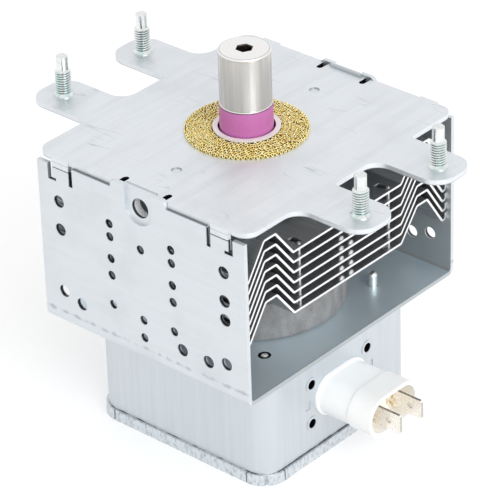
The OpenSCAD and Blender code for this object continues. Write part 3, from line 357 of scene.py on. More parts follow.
def from_upright(tree, place, x, y):
    """The distance from an upright axis at that place or at its mirror places."""
    folded = add_node(tree, "ShaderNodeVectorMath", {0: place}, operation="ABSOLUTE").outputs["Vector"]
    return from_axis(tree, folded, (x, y, 0), (1, 1, 0))


def from_rivets(tree, place):
    """The distance from the axis of the nearest clinch rivet."""
    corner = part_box("clinch_rivets")[1]
    head = settings().sizes.rivet_head
    return from_upright(tree, place, corner.x - head, corner.y - head)


def folded_axes(tree, place):
    """X, Y and Z without their signs, for what is the same on both sides."""
    folded = add_node(tree, "ShaderNodeVectorMath", {0: place}, operation="ABSOLUTE").outputs["Vector"]
    return add_node(tree, "ShaderNodeSeparateXYZ", {"Vector": folded}).outputs


def collar_zinc_highlight(tree, place):
    """Zinc of the drawn collar: matt, and painted pale as a painted highlight."""
    tint = settings().colours.rubbed
    return worn(tree, grain(tree, place, 1.2), CLOUDS, faded(tint, 0.9), (0.45, 0.55), 0, 0.1)


def zinc_sheet(tree, place, tint, rolled):
    """Cold-rolled steel with bright zinc: pale and bluish, with rolling streaks and dull smudges."""
    streaks = grain(tree, place, 1.3, rolled, 4.0)
    inputs = worn(tree, streaks, (0.3, 0.7), faded(tint, 0.975), (0.42, 0.5), 0.006, 0.75)
    smudges = grain(tree, place, 16, detail=5.0)
    return stained(tree, inputs, ((smudges, 0.5, 0.8, dulled(tint, 0.9)),))


def plate_zinc(tree, place):
    """The top plate's zinc: handled sheet with smears and scratches, and painted shade in its press marks,
    in its relief cuts and under its edges.
    """
    tints, sizes = palette()
    inputs = zinc_sheet(tree, place, tints.plate, (1, 0.05, 1))
    axes = folded_axes(tree, place)
    smears = grain(tree, place, 4.5, (1, 0.1, 1), 4.0)
    # Painted shade round the edge of each press mark
    corner = near(tree, from_upright(tree, place, 0, sizes.mark_place), sizes.mark_radius, MARK_LINE)
    # Painted shade along the lower edge of the plate
    underside_shade = near(tree, axes["Z"], 0.92 * sizes.plate_sheet, 0.08 * sizes.plate_sheet)
    # Painted shade in the relief cuts
    cut_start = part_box("yoke")[1].y - sizes.yoke_sheet - sizes.relief_depth - 2 * SKIN
    cuts = every(tree, near(tree, axes["X"], sizes.relief_place, sizes.relief_width),
                 where(tree, (axes["Y"], OVER, cut_start), (axes["Z"], OVER, 3 * SKIN)))
    return stained(tree, inputs, (
        (smears, 0.5, 0.72, dulled(tints.plate, 0.91)), (scratches(tree, place), 0, 1, tints.scratch),
        (corner, 0.2, 1, tints.pressed), (underside_shade, 0.2, 1.2, tints.seam), (cuts, 0.3, 0.4, tints.braze)))


def yoke_zinc(tree, place):
    """The yoke's zinc: painted shade on its inner faces, painted light and a painted bluish reflection on
    its floor, bare steel and painted shade in its holes, painted shade in its seams, in its lugs' holes and
    round its rivets, and scuffs above its bend.
    """
    tints, sizes = palette()
    inputs = zinc_sheet(tree, place, tints.zinc, (0.05, 1, 1))
    low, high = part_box("yoke")
    sheet = sizes.yoke_sheet
    floor_level = -low.z - sheet
    lug = MOUNTS["lug_hole_front"]
    hole = lug["dims"]["r_mm"] * MM
    back = -lug["pos_m"][1] - lug["dims"]["length_mm"] * MM / 2
    reach = from_axis(tree, place, lug["pos_m"], (1, 0, 1))
    axes = folded_axes(tree, place)
    # Painted shade on the inner faces, and again at the floor's front end
    inside = (axes["Y"], UNDER, high.y - sheet + SKIN)
    # Painted light and a painted bluish reflection on the floor
    low_down = (axes["Z"], OVER, floor_level - SKIN)
    at_end = (axes["X"], OVER, high.x - sizes.sheet_edge)
    # Bare steel and painted shade in the punched holes
    holes = every(tree, near(tree, axes["Y"], high.y - sheet / 2, sheet / 2), where(
        tree, (reach, OVER, sizes.lug_reach), (axes["X"], UNDER, sizes.post_place),
        (axes["Z"], OVER, 1.5 * sheet), (axes["Z"], UNDER, floor_level - sheet)))
    # Painted shade on the wall of each lug's hole
    lug_edge_shade = where(tree, (reach, UNDER, hole + RIM), (axes["Y"], OVER, back + 2 * SKIN))
    # Painted shade in the seam where the plate sits on the walls
    top_seam_shade = every(tree, near(tree, axes["Z"], sizes.plate_sheet, SEAM_LINE), where(
        tree, (axes["Y"], OVER, high.y - sheet), (axes["X"], OVER, sizes.lug_half)))
    # Painted shade in the open ring round each rivet
    rivet_gap_shade = where(tree, (from_rivets(tree, place), UNDER, sizes.rivet_gap + RIM),
                       (axes["Z"], OVER, floor_level))
    scuffs = every(tree, near(tree, axes["Z"], -low.z - sizes.bend_line, SCUFF_BAND),
                   grain(tree, place, 2.6, (1, 1, 0.8), 5.0))
    return stained(tree, inputs, (
        (where(tree, inside), 0, 1, tints.inner_shade_zinc),
        (where(tree, inside, low_down), 0, 1, tints.floor_reflection_zinc),
        (where(tree, inside, low_down, at_end), 0, 1, tints.inner_shade_zinc),
        (holes, 0.25, 0.5, tints.punched), (lug_edge_shade, 0, 1, tints.seam), (top_seam_shade, 0.3, 1.3, tints.seam),
        (rivet_gap_shade, 0, 1, tints.braze), (scuffs, 0.38, 0.56, tints.scuff)))


def drawn_zinc(tree, place):
    """Zinc-plated sheet drawn into a box: faint drawing lines, a wavy line of painted shade in the seam over
    the lid, and painted shade round the rivets.
    """
    tints, sizes = palette()
    lines = grain(tree, place, 1.6, (1, 1, 0.04))
    shades = faded(tints.drawn, 0.95)
    inputs = worn(tree, lines, (0.35, 0.75), shades, (0.36, 0.44), 0.002, 0.75)
    axes = add_node(tree, "ShaderNodeSeparateXYZ", {"Vector": place}).outputs
    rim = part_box("filter_lid")[1].z
    seam = sizes.lid_seam
    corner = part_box("filter_box")[1]
    # A wavy line of painted shade in the seam over the lid, stronger on the +X face
    wander = grain(tree, place, 3, detail=2.0)
    wavy = add_node(tree, "ShaderNodeMath", {0: wander, 1: -6 * seam, 2: axes["Z"]},
                    operation="MULTIPLY_ADD").outputs[0]
    bold_seam_shade = where(tree, (axes["X"], OVER, corner.x - 6 * SKIN), (wavy, UNDER, rim - 1.3 * seam))
    # Painted shade round each rivet on the box's top
    rivet_ring_shade = every(tree, where(tree, (axes["Z"], OVER, corner.z - 2 * SKIN)),
                         near(tree, from_rivets(tree, place), 0, sizes.rivet_head))
    return stained(tree, inputs, (
        (wavy, rim - 2.35 * seam, rim - 2.75 * seam, tints.seam), (bold_seam_shade, 0, 1, tints.seam),
        (rivet_ring_shade, 0.1, 0.2, tints.braze)))


def open_eyelet(tree, place):
    """Zinc-plated eyelet: bright on its rolled head, with painted shade down its bore."""
    tints = settings().colours
    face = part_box("filter_box")[1].x
    shades = faded(tints.drawn, 0.93)
    inputs = worn(tree, grain(tree, place, 1.5), CLOUDS, shades, (0.32, 0.4), 0, 0.7)
    # Painted shade down the bore
    depth = add_node(tree, "ShaderNodeSeparateXYZ", {"Vector": place}).outputs["X"]
    return stained(tree, inputs, ((depth, face + 2 * SKIN, face - 2 * SKIN, tints.braze),))


def crimped_zinc(tree, place):
    """Zinc-plated rim pressed over the box: dull, with the fine dents of the crimping rolls."""
    tints = settings().colours
    dents = grain(tree, place, 0.8, (1, 1, 0.6), 4.0)
    return worn(tree, dents, (0.45, 0.72), (tints.zinc, tints.crimp_shade), (0.34, 0.5), 0.05, 0.7)


def bright_zinc(tree, place):
    """Turned steel with bright zinc: smoother and shinier than the sheet."""
    tint = settings().colours.stud_zinc
    return worn(tree, grain(tree, place, 1.5), CLOUDS, faded(tint, 0.85), (0.18, 0.28))


def clinched_zinc(tree, place):
    """A clinch rivet's zinc: mottled in its flat middle, with painted shade round its rim."""
    tints, sizes = palette()
    shades = faded(tints.rubbed, 0.4)
    inputs = worn(tree, grain(tree, place, 1), (0.4, 0.6), shades, (0.3, 0.4), 0, 0.2)
    # Painted shade round the rivet's rim
    core = sizes.rivet_core
    return stained(tree, inputs, ((from_rivets(tree, place), core, 1.2 * core, tints.braze),))


def threaded_zinc(tree, place):
    """The studs' bright zinc: greenish upright bands, and painted shade at the root of the thread."""
    tints, sizes = palette()
    bands = grain(tree, place, 1.6, (1, 1, 0.12), 2.0)
    dims = MOUNTS["studs"]["dims"]
    away = from_upright(tree, place, dims["spacing_x_mm"] * MM / 2, dims["spacing_y_mm"] * MM / 2)
    # Painted shade at the root of the thread
    root = near(tree, away, dims["stud_r_mm"] * MM - sizes.thread_depth, 0.75 * sizes.thread_depth)
    thread_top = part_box("mounting_studs")[1].z - sizes.stud_dog - sizes.stud_cone
    height = add_node(tree, "ShaderNodeSeparateXYZ", {"Vector": place}).outputs["Z"]
    below = where(tree, (height, UNDER, thread_top))
    return stained(tree, bright_zinc(tree, place), (
        (every(tree, bands, below), 0.46, 0.58, tints.thread_zinc),
        (every(tree, root, below), 0, 1, tints.thread_root_shade)))


def rolled_aluminium(tree, place):
    """Bare rolled aluminium: satin, with rolling lines along the fin, and pale sheared ends and lances with
    a painted highlight.
    """
    tints, sizes = palette()
    lines = grain(tree, place, 0.5, (0.04, 1, 1))
    shades = faded(tints.aluminium, 0.76)
    inputs = worn(tree, lines, CLOUDS, shades, (0.28, 0.42), 0, 0.9)
    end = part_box("fin_1")[1].x
    # Painted highlights on the half-moon lances, the spacer tabs and the sheared ends
    moons = from_upright(tree, place, end - sizes.moon_inset, sizes.moon_place)
    tabs = from_upright(tree, place, end - sizes.spacer_inset, sizes.spacer_place)
    away = folded_axes(tree, place)["X"]
    return stained(tree, inputs, (
        (moons, sizes.moon_inset, 0.5 * sizes.moon_inset, tints.sheared),
        (tabs, sizes.spacer_reach, 0.8 * sizes.spacer_reach, tints.sheared),
        (away, end - SKIN, end - 0.4 * SKIN, tints.sheared)))


def sintered_ferrite(tree, place):
    """Ground ferrite: mid grey and dull, with a warm mottle and fine dark specks."""
    tints = settings().colours
    mottle = grain(tree, place, 4, (1, 1, 0.6), 6.0)
    inputs = worn(tree, mottle, CLOUDS, (tints.ferrite, tints.ferrite_shade), (0.45, 0.6), 0.02, 0.2)
    specks = grain(tree, place, 0.5)
    return stained(tree, inputs, ((specks, 0.58, 0.75, dulled(tints.ferrite_shade, 0.6)),))


def brass_wire(tree, place):
    """Bright knitted brass wire: painted glints and duller golden stretches, loop by loop."""
    tints = settings().colours
    dull = grain(tree, place, 0.8)
    inputs = worn(tree, dull, (0.47, 0.6), (tints.brass, tints.brass_shade), (0.2, 0.3), 0, 0.45)
    # Painted glints
    glints = grain(tree, place, 0.55)
    return stained(tree, inputs, ((glints, 0.5, 0.56, tints.painted_brass_glint),))


def shaded_packed_wire(tree, place):
    """The gasket's depth: packed wire, painted dark brown as painted shade in the gaps between the loops."""
    tints = settings().colours
    shades = (tints.brass_depth_shade, dulled(tints.brass_shade, 0.5))
    return worn(tree, grain(tree, place, 0.45), (0.45, 0.7), shades, (0.5, 0.6), 0.1, 0.6)


def cap_grooves(foot, top):
    """Heights of the two fine grooves round the cap: over its bead and under its shoulder."""
    sizes = settings().sizes
    return foot + 2.2 * sizes.cap_bead, top - 1.2 * sizes.cap_edge - 2 * sizes.cap_groove


def drawn_nickel(tree, place):
    """Deep-drawn nickel cup: warm and satin, with upright bands, a painted highlight on its bead and its
    top, and painted shade over its foot and in a ring round its top.
    """
    tints, sizes = palette()
    low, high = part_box("antenna_cap")
    bands = grain(tree, place, 1.8, (1, 1, 0.03))
    inputs = worn(tree, bands, (0.35, 0.68), faded(tints.nickel, 0.76), (0.28, 0.4))
    height = add_node(tree, "ShaderNodeSeparateXYZ", {"Vector": place}).outputs["Z"]
    over_bead = cap_grooves(low.z, high.z)[0]
    shoulder = high.z - sizes.cap_edge
    away = from_upright(tree, place, 0, 0)
    # Painted shade in a ring round the top
    ring = every(tree, near(tree, away, high.x - 0.8 * sizes.cap_edge, CAP_LINE),
                 where(tree, (height, OVER, high.z - 0.5 * sizes.cap_edge)))
    # Painted highlight over the bead and the top, painted shade over the foot and in a ring round the top
    return stained(tree, inputs, (
        (height, over_bead, over_bead - 0.5 * sizes.cap_bead, tints.nickel_top_highlight),
        (height, low.z + CAP_FOOT[0], low.z + CAP_FOOT[1], tints.groove),
        (height, shoulder, shoulder + sizes.cap_groove, tints.nickel_top_highlight), (ring, 0, 1.6, tints.groove)))


def tinted_alumina(tree, place):
    """Pink alumina: smooth fired ceramic with a fine speckle."""
    tint = settings().colours.alumina
    return worn(tree, grain(tree, place, 0.8), CLOUDS, faded(tint, 0.93), (0.36, 0.44), 0, 0.0)


def brazed_ring(tree, place):
    """Plated seal ring: pale on its rim, with braze and painted shade down in the well round the ceramic."""
    tints = settings().colours
    clouds = grain(tree, place, 1.5)
    inputs = worn(tree, clouds, CLOUDS, faded(tints.seal, 0.95), (0.36, 0.44), 0, 0.1)
    # Braze and painted shade down in the well
    height = add_node(tree, "ShaderNodeSeparateXYZ", {"Vector": place}).outputs["Z"]
    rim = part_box("upper_seal_cup")[1].z
    depth = settings().sizes.braze_depth
    return stained(tree, inputs, ((height, rim - depth, rim - 2 * depth, tints.braze),))


def moulded_polyester(tree, place):
    """White moulded polyester: soft gloss and a faint mottle, cream down inside the nose."""
    tints, sizes = palette()
    low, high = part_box("connector_body")
    half = (high - low) / 2
    shades = faded(tints.plastic, 0.98)
    inputs = worn(tree, grain(tree, place, 5), (0.3, 0.7), shades, (0.36, 0.46), 0.003, 0.0)
    away = add_node(tree, "ShaderNodeVectorMath", {0: place, 1: low + half},
                    operation="SUBTRACT").outputs["Vector"]
    folded = add_node(tree, "ShaderNodeVectorMath", {0: away}, operation="ABSOLUTE").outputs["Vector"]
    past = add_node(tree, "ShaderNodeVectorMath", {0: folded, 1: (half.x, half.y - half.z, 0)},
                    operation="SUBTRACT").outputs["Vector"]
    spot = add_node(tree, "ShaderNodeVectorMath", {0: past, 1: (0, 0, 0)},
                    operation="MAXIMUM").outputs["Vector"]
    reach = add_node(tree, "ShaderNodeVectorMath", {0: spot}, operation="LENGTH").outputs["Value"]
    inside = where(tree, (reach, UNDER, half.z - sizes.nose_wall + 2 * SKIN))
    depth = add_node(tree, "ShaderNodeSeparateXYZ", {"Vector": place}).outputs["X"]
    deep = add_node(tree, "ShaderNodeMapRange", {
        "Value": depth, "From Min": high.x - 3 * MM, "From Max": high.x,
        "To Min": 1.0, "To Max": 0.0}).outputs["Result"]
    return stained(tree, inputs, ((every(tree, inside, deep), 0, 1, tints.plastic_inside),))


def tinned_brass(tree, place):
    """Tinned brass strip: pale faces, warm mottle down in the nose, and painted shade on its edges, its end
    and round its latch hole.
    """
    tints, sizes = palette()
    low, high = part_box("blade_1")
    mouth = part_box("connector_body")[1].x
    shades = faded(tints.tin, 0.94)
    inputs = worn(tree, grain(tree, place, 1.5), CLOUDS, shades, (0.24, 0.32), 0, 0.5)
    axes = add_node(tree, "ShaderNodeSeparateXYZ", {"Vector": place}).outputs
    deep = add_node(tree, "ShaderNodeMapRange", {
        "Value": axes["X"], "From Min": mouth - 4 * MM, "From Max": mouth + 1 * MM,
        "To Min": 1.0, "To Max": 0.2}).outputs["Result"]
    thin = grain(tree, place, 0.7, detail=5.0)
    # Painted shade round the latch hole, along the top edge and on the end
    hole = (high.x - sizes.latch_inset, 0, (low.z + high.z) / 2)
    latch = near(tree, from_axis(tree, place, hole, (1, 0, 1)), sizes.latch_radius, LATCH_LINE)
    return stained(tree, inputs, (
        (every(tree, thin, deep), 0.4, 0.62, tints.tin_thin), (latch, 0.2, 1.8, tints.tin_edge_shade),
        (axes["Z"], high.z - 1.2 * SKIN, high.z - 0.6 * SKIN, tints.tin_edge_shade),
        (axes["X"], high.x - 1.2 * SKIN, high.x - 0.6 * SKIN, dulled(tints.tin, 0.55))))


def metal(tint, roughness):
    """A maker of a plain metal with cloudy patches."""
    def build(tree, place):
        rough = (0.9 * roughness, 1.1 * roughness)
        return worn(tree, grain(tree, place, 3), CLOUDS, faded(tint, 0.85), rough)
    return build


def white_alumina(tree, place):
    """White alumina of the tube's stem: fired and matt."""
    tint = settings().colours.seal
    return worn(tree, grain(tree, place, 1), CLOUDS, faded(tint, 0.92), (0.45, 0.55), 0, 0.0)


def dress(material, *names):
    """Gives solids of the frame their finish."""
    for name in names:
        NODES[name].material_slots[0].material = material


# Pieces

def new_piece(name, bm, material, replaced=(), smooth_angle=35):
    """An object from a bmesh, with its finish, riding on the body."""
    mesh = bpy.data.meshes.new(name)
    bm.to_mesh(mesh)
    bm.free()
    mesh.shade_smooth()
    mesh.set_sharp_from_angle(angle=math.radians(smooth_angle))
    mesh.materials.append(material)
    piece = bpy.data.objects.new(name, mesh)
    bpy.context.scene.collection.objects.link(piece)
    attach(piece, BODY)
    if replaced:
        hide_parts(*replaced)
    return piece


def softened(node, name, material, width, segments=2, angle=40):
    """A copy of a solid with its sharp edges rounded, in place of the solid."""
    flat = math.radians(0.5)
    bm = bmesh.new()
    bm.from_mesh(NODES[node].data)
    bmesh.ops.remove_doubles(bm, verts=bm.verts, dist=SOLID_WELD)
    bmesh.ops.dissolve_limit(bm, angle_limit=flat, verts=bm.verts, edges=bm.edges)
    sharp = [e for e in bm.edges if len(e.link_faces) == 2 and e.calc_face_angle() > math.radians(angle)]
    bmesh.ops.bevel(bm, geom=sharp, offset=width, offset_type="OFFSET", affect="EDGES", segments=segments,
                    profile=0.5, clamp_overlap=True, loop_slide=False, material=-1)
    piece = new_piece(name, bm, material, (node,))
    weighted = piece.modifiers.new("weighted normals", "WEIGHTED_NORMAL")
    weighted.keep_sharp = True
    return piece


def lathe(bm, profile, steps=48):
    """Spins a profile of radius and height pairs once round the Z axis."""
    verts = [bm.verts.new((r, 0, z)) for r, z in profile]
    edges = [bm.edges.new(pair) for pair in zip(verts, verts[1:])]
    bmesh.ops.spin(bm, geom=verts + edges, cent=(0, 0, 0), axis=(0, 0, 1), angle=math.tau,
                   steps=steps, use_merge=True, use_duplicate=False)
    bmesh.ops.remove_doubles(bm, verts=bm.verts, dist=SPUN_WELD)
    bmesh.ops.recalc_face_normals(bm, faces=bm.faces)


def copies(one, moves):
    """A bmesh that holds a shape once for each move."""
    mesh = bpy.data.meshes.new("one copy")
    one.to_mesh(mesh)
    one.free()
    bm = bmesh.new()
    for move in moves:
        moved = mesh.copy()
        moved.transform(move)
        bm.from_mesh(moved)
        bpy.data.meshes.remove(moved)
    bpy.data.meshes.remove(mesh)
    return bm


class MAGNETRON_OT_sheets(bpy.types.Operator):
    """Rounds and plates the yoke, the top plate, the filter box and its lid"""

    bl_idname = "magnetron.sheets"
    bl_label = "Steel sheets"

    def execute(self, context):
        edge = settings().sizes.sheet_edge
        softened("yoke", "folded_yoke", finish("zinc plated yoke", yoke_zinc), edge)
        self.lug_collars(finish("drawn collar", collar_zinc_highlight))
        softened("top_plate", "mounting_plate", finish("zinc plated plate", plate_zinc), edge)
        softened("filter_lid", "slit_lid", finish("crimped zinc plate", crimped_zinc), edge / 2)
        dress(finish("drawn zinc plate", drawn_zinc), "filter_box", "connector_flange")
        dress(finish("open eyelet", open_eyelet), "flange_eyelets")
        return {"FINISHED"}

    def lug_collars(self, zinc):
        """The short collars that the press drew behind the lugs' holes."""
        sizes = settings().sizes
        lugs = (MOUNTS["lug_hole_front"], MOUNTS["lug_hole_back"])
        hole = lugs[0]["dims"]["r_mm"] * MM
        back = lugs[0]["dims"]["length_mm"] * MM / 2
        start = sizes.collar_entry - back
        end = back + sizes.lug_collar
        inner = hole - sizes.collar_skin
        outer = hole + sizes.collar_wall
        one = bmesh.new()
        lathe(one, [(inner, start), (inner, end), (outer, end), (outer, back), (hole, back), (hole, start),
                    (inner, start)])
        moves = []
        for lug in lugs:
            turn = (-Vector(lug["axis"])).to_track_quat("Z", "Y").to_matrix().to_4x4()
            moves.append(Matrix.Translation(lug["pos_m"]) @ turn)
        new_piece("lug_collars", copies(one, moves), zinc)


class MAGNETRON_OT_studs(bpy.types.Operator):
    """Makes the threaded mounting studs"""

    bl_idname = "magnetron.studs"
    bl_label = "Mounting studs"

    def execute(self, context):
        sizes = settings().sizes
        dims = MOUNTS["studs"]["dims"]
        low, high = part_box("mounting_studs")
        pitch_x = dims["spacing_x_mm"] * MM
        pitch_y = dims["spacing_y_mm"] * MM
        crest = dims["stud_r_mm"] * MM
        root = crest - sizes.thread_depth
        top = high.z
        thread_top = top - sizes.stud_dog - sizes.stud_cone
        head = (high.x - low.x - pitch_x) / 2
        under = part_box("upper_magnet")[1].z
        skirt = sizes.stud_skirt
        neck = sizes.stud_neck
        point = sizes.stud_dog_radius
        tip = 0.3 * MM
        ease = 0.1 * MM
        one = bmesh.new()
        self.thread(one, root, crest, sizes.thread_pitch, neck, thread_top)
        lathe(one, [
            (0, low.z), (head, low.z), (head, under), (root, under), (root, 0), (skirt, 0),
            (skirt, 0.2 * neck), (0.8 * crest + 0.2 * skirt, 0.5 * neck), (root, 0.9 * neck),
            (root, thread_top), (crest - ease, thread_top), (point, top - sizes.stud_dog),
            (point, top - tip), (point - tip, top), (0, top)], 32)
        moves = [Matrix.Translation((sx * pitch_x / 2, sy * pitch_y / 2, 0))
                 for sx in (-1, 1) for sy in (-1, 1)]
        new_piece("threaded_studs", copies(one, moves), finish("threaded zinc", threaded_zinc),
                  ("mounting_studs",), 24)
        return {"FINISHED"}

    def thread(self, bm, root, crest, pitch, low, high, steps=28):
        """One helical ridge between two heights."""
        turns = math.ceil((high - low) / pitch) + 2
        start = low - pitch
        shape = [(root, 0), (crest, 0.4), (crest, 0.58), (root, 1)]
        verts = [bm.verts.new((r, 0, start + share * pitch)) for r, share in shape]
        edges = [bm.edges.new(pair) for pair in zip(verts, verts[1:])]
        bmesh.ops.spin(bm, geom=verts + edges, cent=(0, 0, 0), axis=(0, 0, 1), angle=math.tau * turns,
                       dvec=(0, 0, pitch / steps), steps=steps * turns, use_duplicate=False)
        bmesh.ops.remove_doubles(bm, verts=bm.verts, dist=SPUN_WELD)
        for height, side in ((low, -1), (high, 1)):
            everything = bm.verts[:] + bm.edges[:] + bm.faces[:]
            cut = bmesh.ops.bisect_plane(bm, geom=everything, plane_co=(0, 0, height), plane_no=(0, 0, side),
                                         dist=0.1 * SPUN_WELD, clear_outer=True)
            rim = [e for e in cut["geom_cut"] if isinstance(e, bmesh.types.BMEdge)]
            bmesh.ops.holes_fill(bm, edges=rim)


class MAGNETRON_OT_antenna(bpy.types.Operator):
    """Makes the drawn cap and finishes the ceramic and the seal ring"""

    bl_idname = "magnetron.antenna"
    bl_label = "Antenna"

    def execute(self, context):
        sizes = settings().sizes
        low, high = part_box("antenna_cap")
        radius = high.x
        foot = low.z
        top = high.z
        wall = sizes.cap_wall
        bead = sizes.cap_bead
        groove = sizes.cap_groove
        over_bead, under_shoulder = cap_grooves(foot, top)
        hole = sizes.cap_hole
        bm = bmesh.new()
        lathe(bm, [
            (radius - wall, foot), (radius, foot), (radius + 0.4 * bead, foot + 0.3 * bead),
            (radius + 0.55 * bead, foot + bead), (radius + 0.4 * bead, foot + 1.7 * bead),
            (radius - groove, over_bead), (radius, over_bead + 0.6 * bead),
            (radius, under_shoulder - groove), (radius - groove, under_shoulder),
            (radius, under_shoulder + groove), (radius, top), (hole, top),
            (hole, top - wall), (radius - wall, top - wall), (radius - wall, foot)], 96)
        rim = [e for e in bm.edges
               if all(v.co.z > top - SKIN and v.co.xy.length > radius - SKIN for v in e.verts)]
        bmesh.ops.bevel(bm, geom=rim, offset=sizes.cap_edge, offset_type="OFFSET", affect="EDGES",
                        segments=5, profile=0.5, material=-1)
        for vert in bm.verts:
            if vert.co.xy.length < 1.01 * hole:
                self.to_hexagon(vert)
        new_piece("drawn_cap", bm, finish("drawn nickel", drawn_nickel), ("antenna_cap",))
        dress(finish("tinted alumina", tinted_alumina), "antenna_ceramic")
        dress(finish("brazed seal ring", brazed_ring), "upper_seal_cup")
        return {"FINISHED"}

    def to_hexagon(self, vert):
        """Moves a vertex of the round hole inwards on to a hexagon with the same corners."""
        turn = math.atan2(vert.co.y, vert.co.x) % (math.tau / 6)
        share = math.cos(math.tau / 12) / math.cos(turn - math.tau / 12)
        vert.co.x *= share
        vert.co.y *= share


class MAGNETRON_OT_gasket(bpy.types.Operator):
    """Knits the wire gasket round the antenna's foot"""

    bl_idname = "magnetron.gasket"
    bl_label = "Knitted gasket"

    # How far a loop's sides lean over, its reach in rows inside and at the edges, and its uneven pull
    LEAN = 0.9
    OVERHANG = 0.75
    EDGE_REACH = 0.45
    PULL = 0.7

    def execute(self, context):
        sizes = settings().sizes
        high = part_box("rf_gasket")[1]
        outer = high.x
        inner = sizes.gasket_inside
        wire = sizes.gasket_wire
        body = high.z - 3 * wire
        core = bmesh.new()
        lathe(core, [(inner, 0), (outer - wire, 0), (outer - wire, body / 2), (outer - 3 * wire, body),
                     (inner, body), (inner, 0)], 96)
        # The dark core is painted shade in the gaps between the loops
        new_piece("gasket_core", core, finish("packed brass wire", shaded_packed_wire),
                  ("rf_gasket",))
        curve = bpy.data.curves.new("gasket knit", "CURVE")
        curve.dimensions = "3D"
        curve.bevel_depth = wire
        curve.bevel_resolution = 0
        spread = outer - 2 * wire - inner
        rows = round(spread / sizes.gasket_row)
        step = spread / rows
        for row in range(rows):
            self.knit(curve, inner + (row + 0.5) * step, high.z - 2 * wire, row, 0 < row < rows - 1)
        self.bind(curve, outer - wire, body / 2 + wire)
        holder = bpy.data.objects.new("gasket knit", curve)
        bpy.context.scene.collection.objects.link(holder)
        evaluated = holder.evaluated_get(context.evaluated_depsgraph_get())
        bm = bmesh.new()
        bm.from_mesh(evaluated.to_mesh())
        bpy.data.objects.remove(holder)
        new_piece("gasket_knit", bm, finish("brass wire", brass_wire), smooth_angle=100)
        return {"FINISHED"}

    def closed_row(self, curve, count):
        """The points of a closed run of wire."""
        spline = curve.splines.new("POLY")
        spline.use_cyclic_u = True
        spline.points.add(count - 1)
        return spline.points

    def bind(self, curve, radius, height, points=8):
        """The upright loops that close the gasket's outer side."""
        sizes = settings().sizes
        loops = round(math.tau * radius / sizes.gasket_loop)
        for i, point in enumerate(self.closed_row(curve, loops * points)):
            turn = math.tau * i / points
            angle = (turn + self.LEAN * math.sin(2 * turn)) / loops
            rise = height + 2 * sizes.gasket_wire * math.cos(turn)
            point.co = (radius * math.cos(angle), radius * math.sin(angle), rise, 1)

    def knit(self, curve, radius, height, row, overhangs, points=12):
        """One row of loops round the antenna, which overhang the next rows except at the edges."""
        sizes = settings().sizes
        loops = round(math.tau * radius / sizes.gasket_loop)
        reach = sizes.gasket_row * (self.OVERHANG if overhangs else self.EDGE_REACH)
        chance = random.Random(row)
        pulls = [chance.uniform(-self.PULL, self.PULL) for loop in range(loops + 1)]
        for i, point in enumerate(self.closed_row(curve, loops * points)):
            turn = math.tau * i / points
            pull = pulls[i // points]
            lean = self.LEAN * math.sin(2 * turn) + 2 * pull * math.sin(turn / 2) ** 2
            angle = (turn + lean + math.pi * row) / loops
            away = radius + reach * (1 - abs(pull)) * math.cos(turn)
            rise = height + sizes.gasket_wire * (0.8 * math.cos(2 * turn) + pull)
            point.co = (away * math.cos(angle), away * math.sin(angle), rise, 1)


class MAGNETRON_OT_fins(bpy.types.Operator):
    """Finishes the cooling fins"""

    bl_idname = "magnetron.fins"
    bl_label = "Cooling fins"

    def execute(self, context):
        dress(finish("rolled aluminium", rolled_aluminium), *[n for n in NODES if n.startswith("fin_")])
        return {"FINISHED"}


class MAGNETRON_OT_magnets(bpy.types.Operator):
    """Finishes the ring magnets"""

    bl_idname = "magnetron.magnets"
    bl_label = "Magnets"

    def execute(self, context):
        dress(finish("sintered ferrite", sintered_ferrite), "upper_magnet", "lower_magnet")
        return {"FINISHED"}


class MAGNETRON_OT_connector(bpy.types.Operator):
    """Rounds and finishes the connector and its blades"""

    bl_idname = "magnetron.connector"
    bl_label = "Connector"

    def execute(self, context):
        white = finish("moulded polyester", moulded_polyester)
        edge = settings().sizes.moulded_edge
        softened("connector_body", "moulded_connector", white, edge, 3)
        dress(finish("tinned brass", tinned_brass), "blade_1", "blade_2")
        return {"FINISHED"}


class MAGNETRON_OT_fasteners(bpy.types.Operator):
    """Finishes the pegs and rivets"""

    bl_idname = "magnetron.fasteners"
    bl_label = "Pegs and rivets"

    def execute(self, context):
        dress(finish("bright zinc", bright_zinc), "locating_pegs")
        dress(finish("clinched zinc", clinched_zinc), "clinch_rivets")
        return {"FINISHED"}


class MAGNETRON_OT_inside(bpy.types.Operator):
    """Finishes what the tube and the filter box hold"""

    bl_idname = "magnetron.inside"
    bl_label = "Inner parts"

    def execute(self, context):
        tints = settings().colours
        finishes = {
            "copper": finish("bare copper", metal(tints.copper, 0.3)),
            "iron_alloy": finish("nickel plate", metal(tints.nickel, 0.32)),
            "pole_iron": finish("plated soft iron", metal(dulled(tints.zinc, 0.9), 0.4)),
            "tungsten": finish("tungsten wire", metal(dulled(tints.nickel, 0.4), 0.4)),
            "molybdenum": finish("molybdenum", metal(dulled(tints.nickel, 0.6), 0.35)),
            "ferrite": finish("sintered ferrite", sintered_ferrite),
            "white_ceramic": finish("white alumina", white_alumina),
        }
        for entry in frame["record"]["subparts"]:
            if entry["material_slot"] in finishes and entry["node"] != "upper_seal_cup":
                dress(finishes[entry["material_slot"]], entry["node"])
        return {"FINISHED"}


# Stage

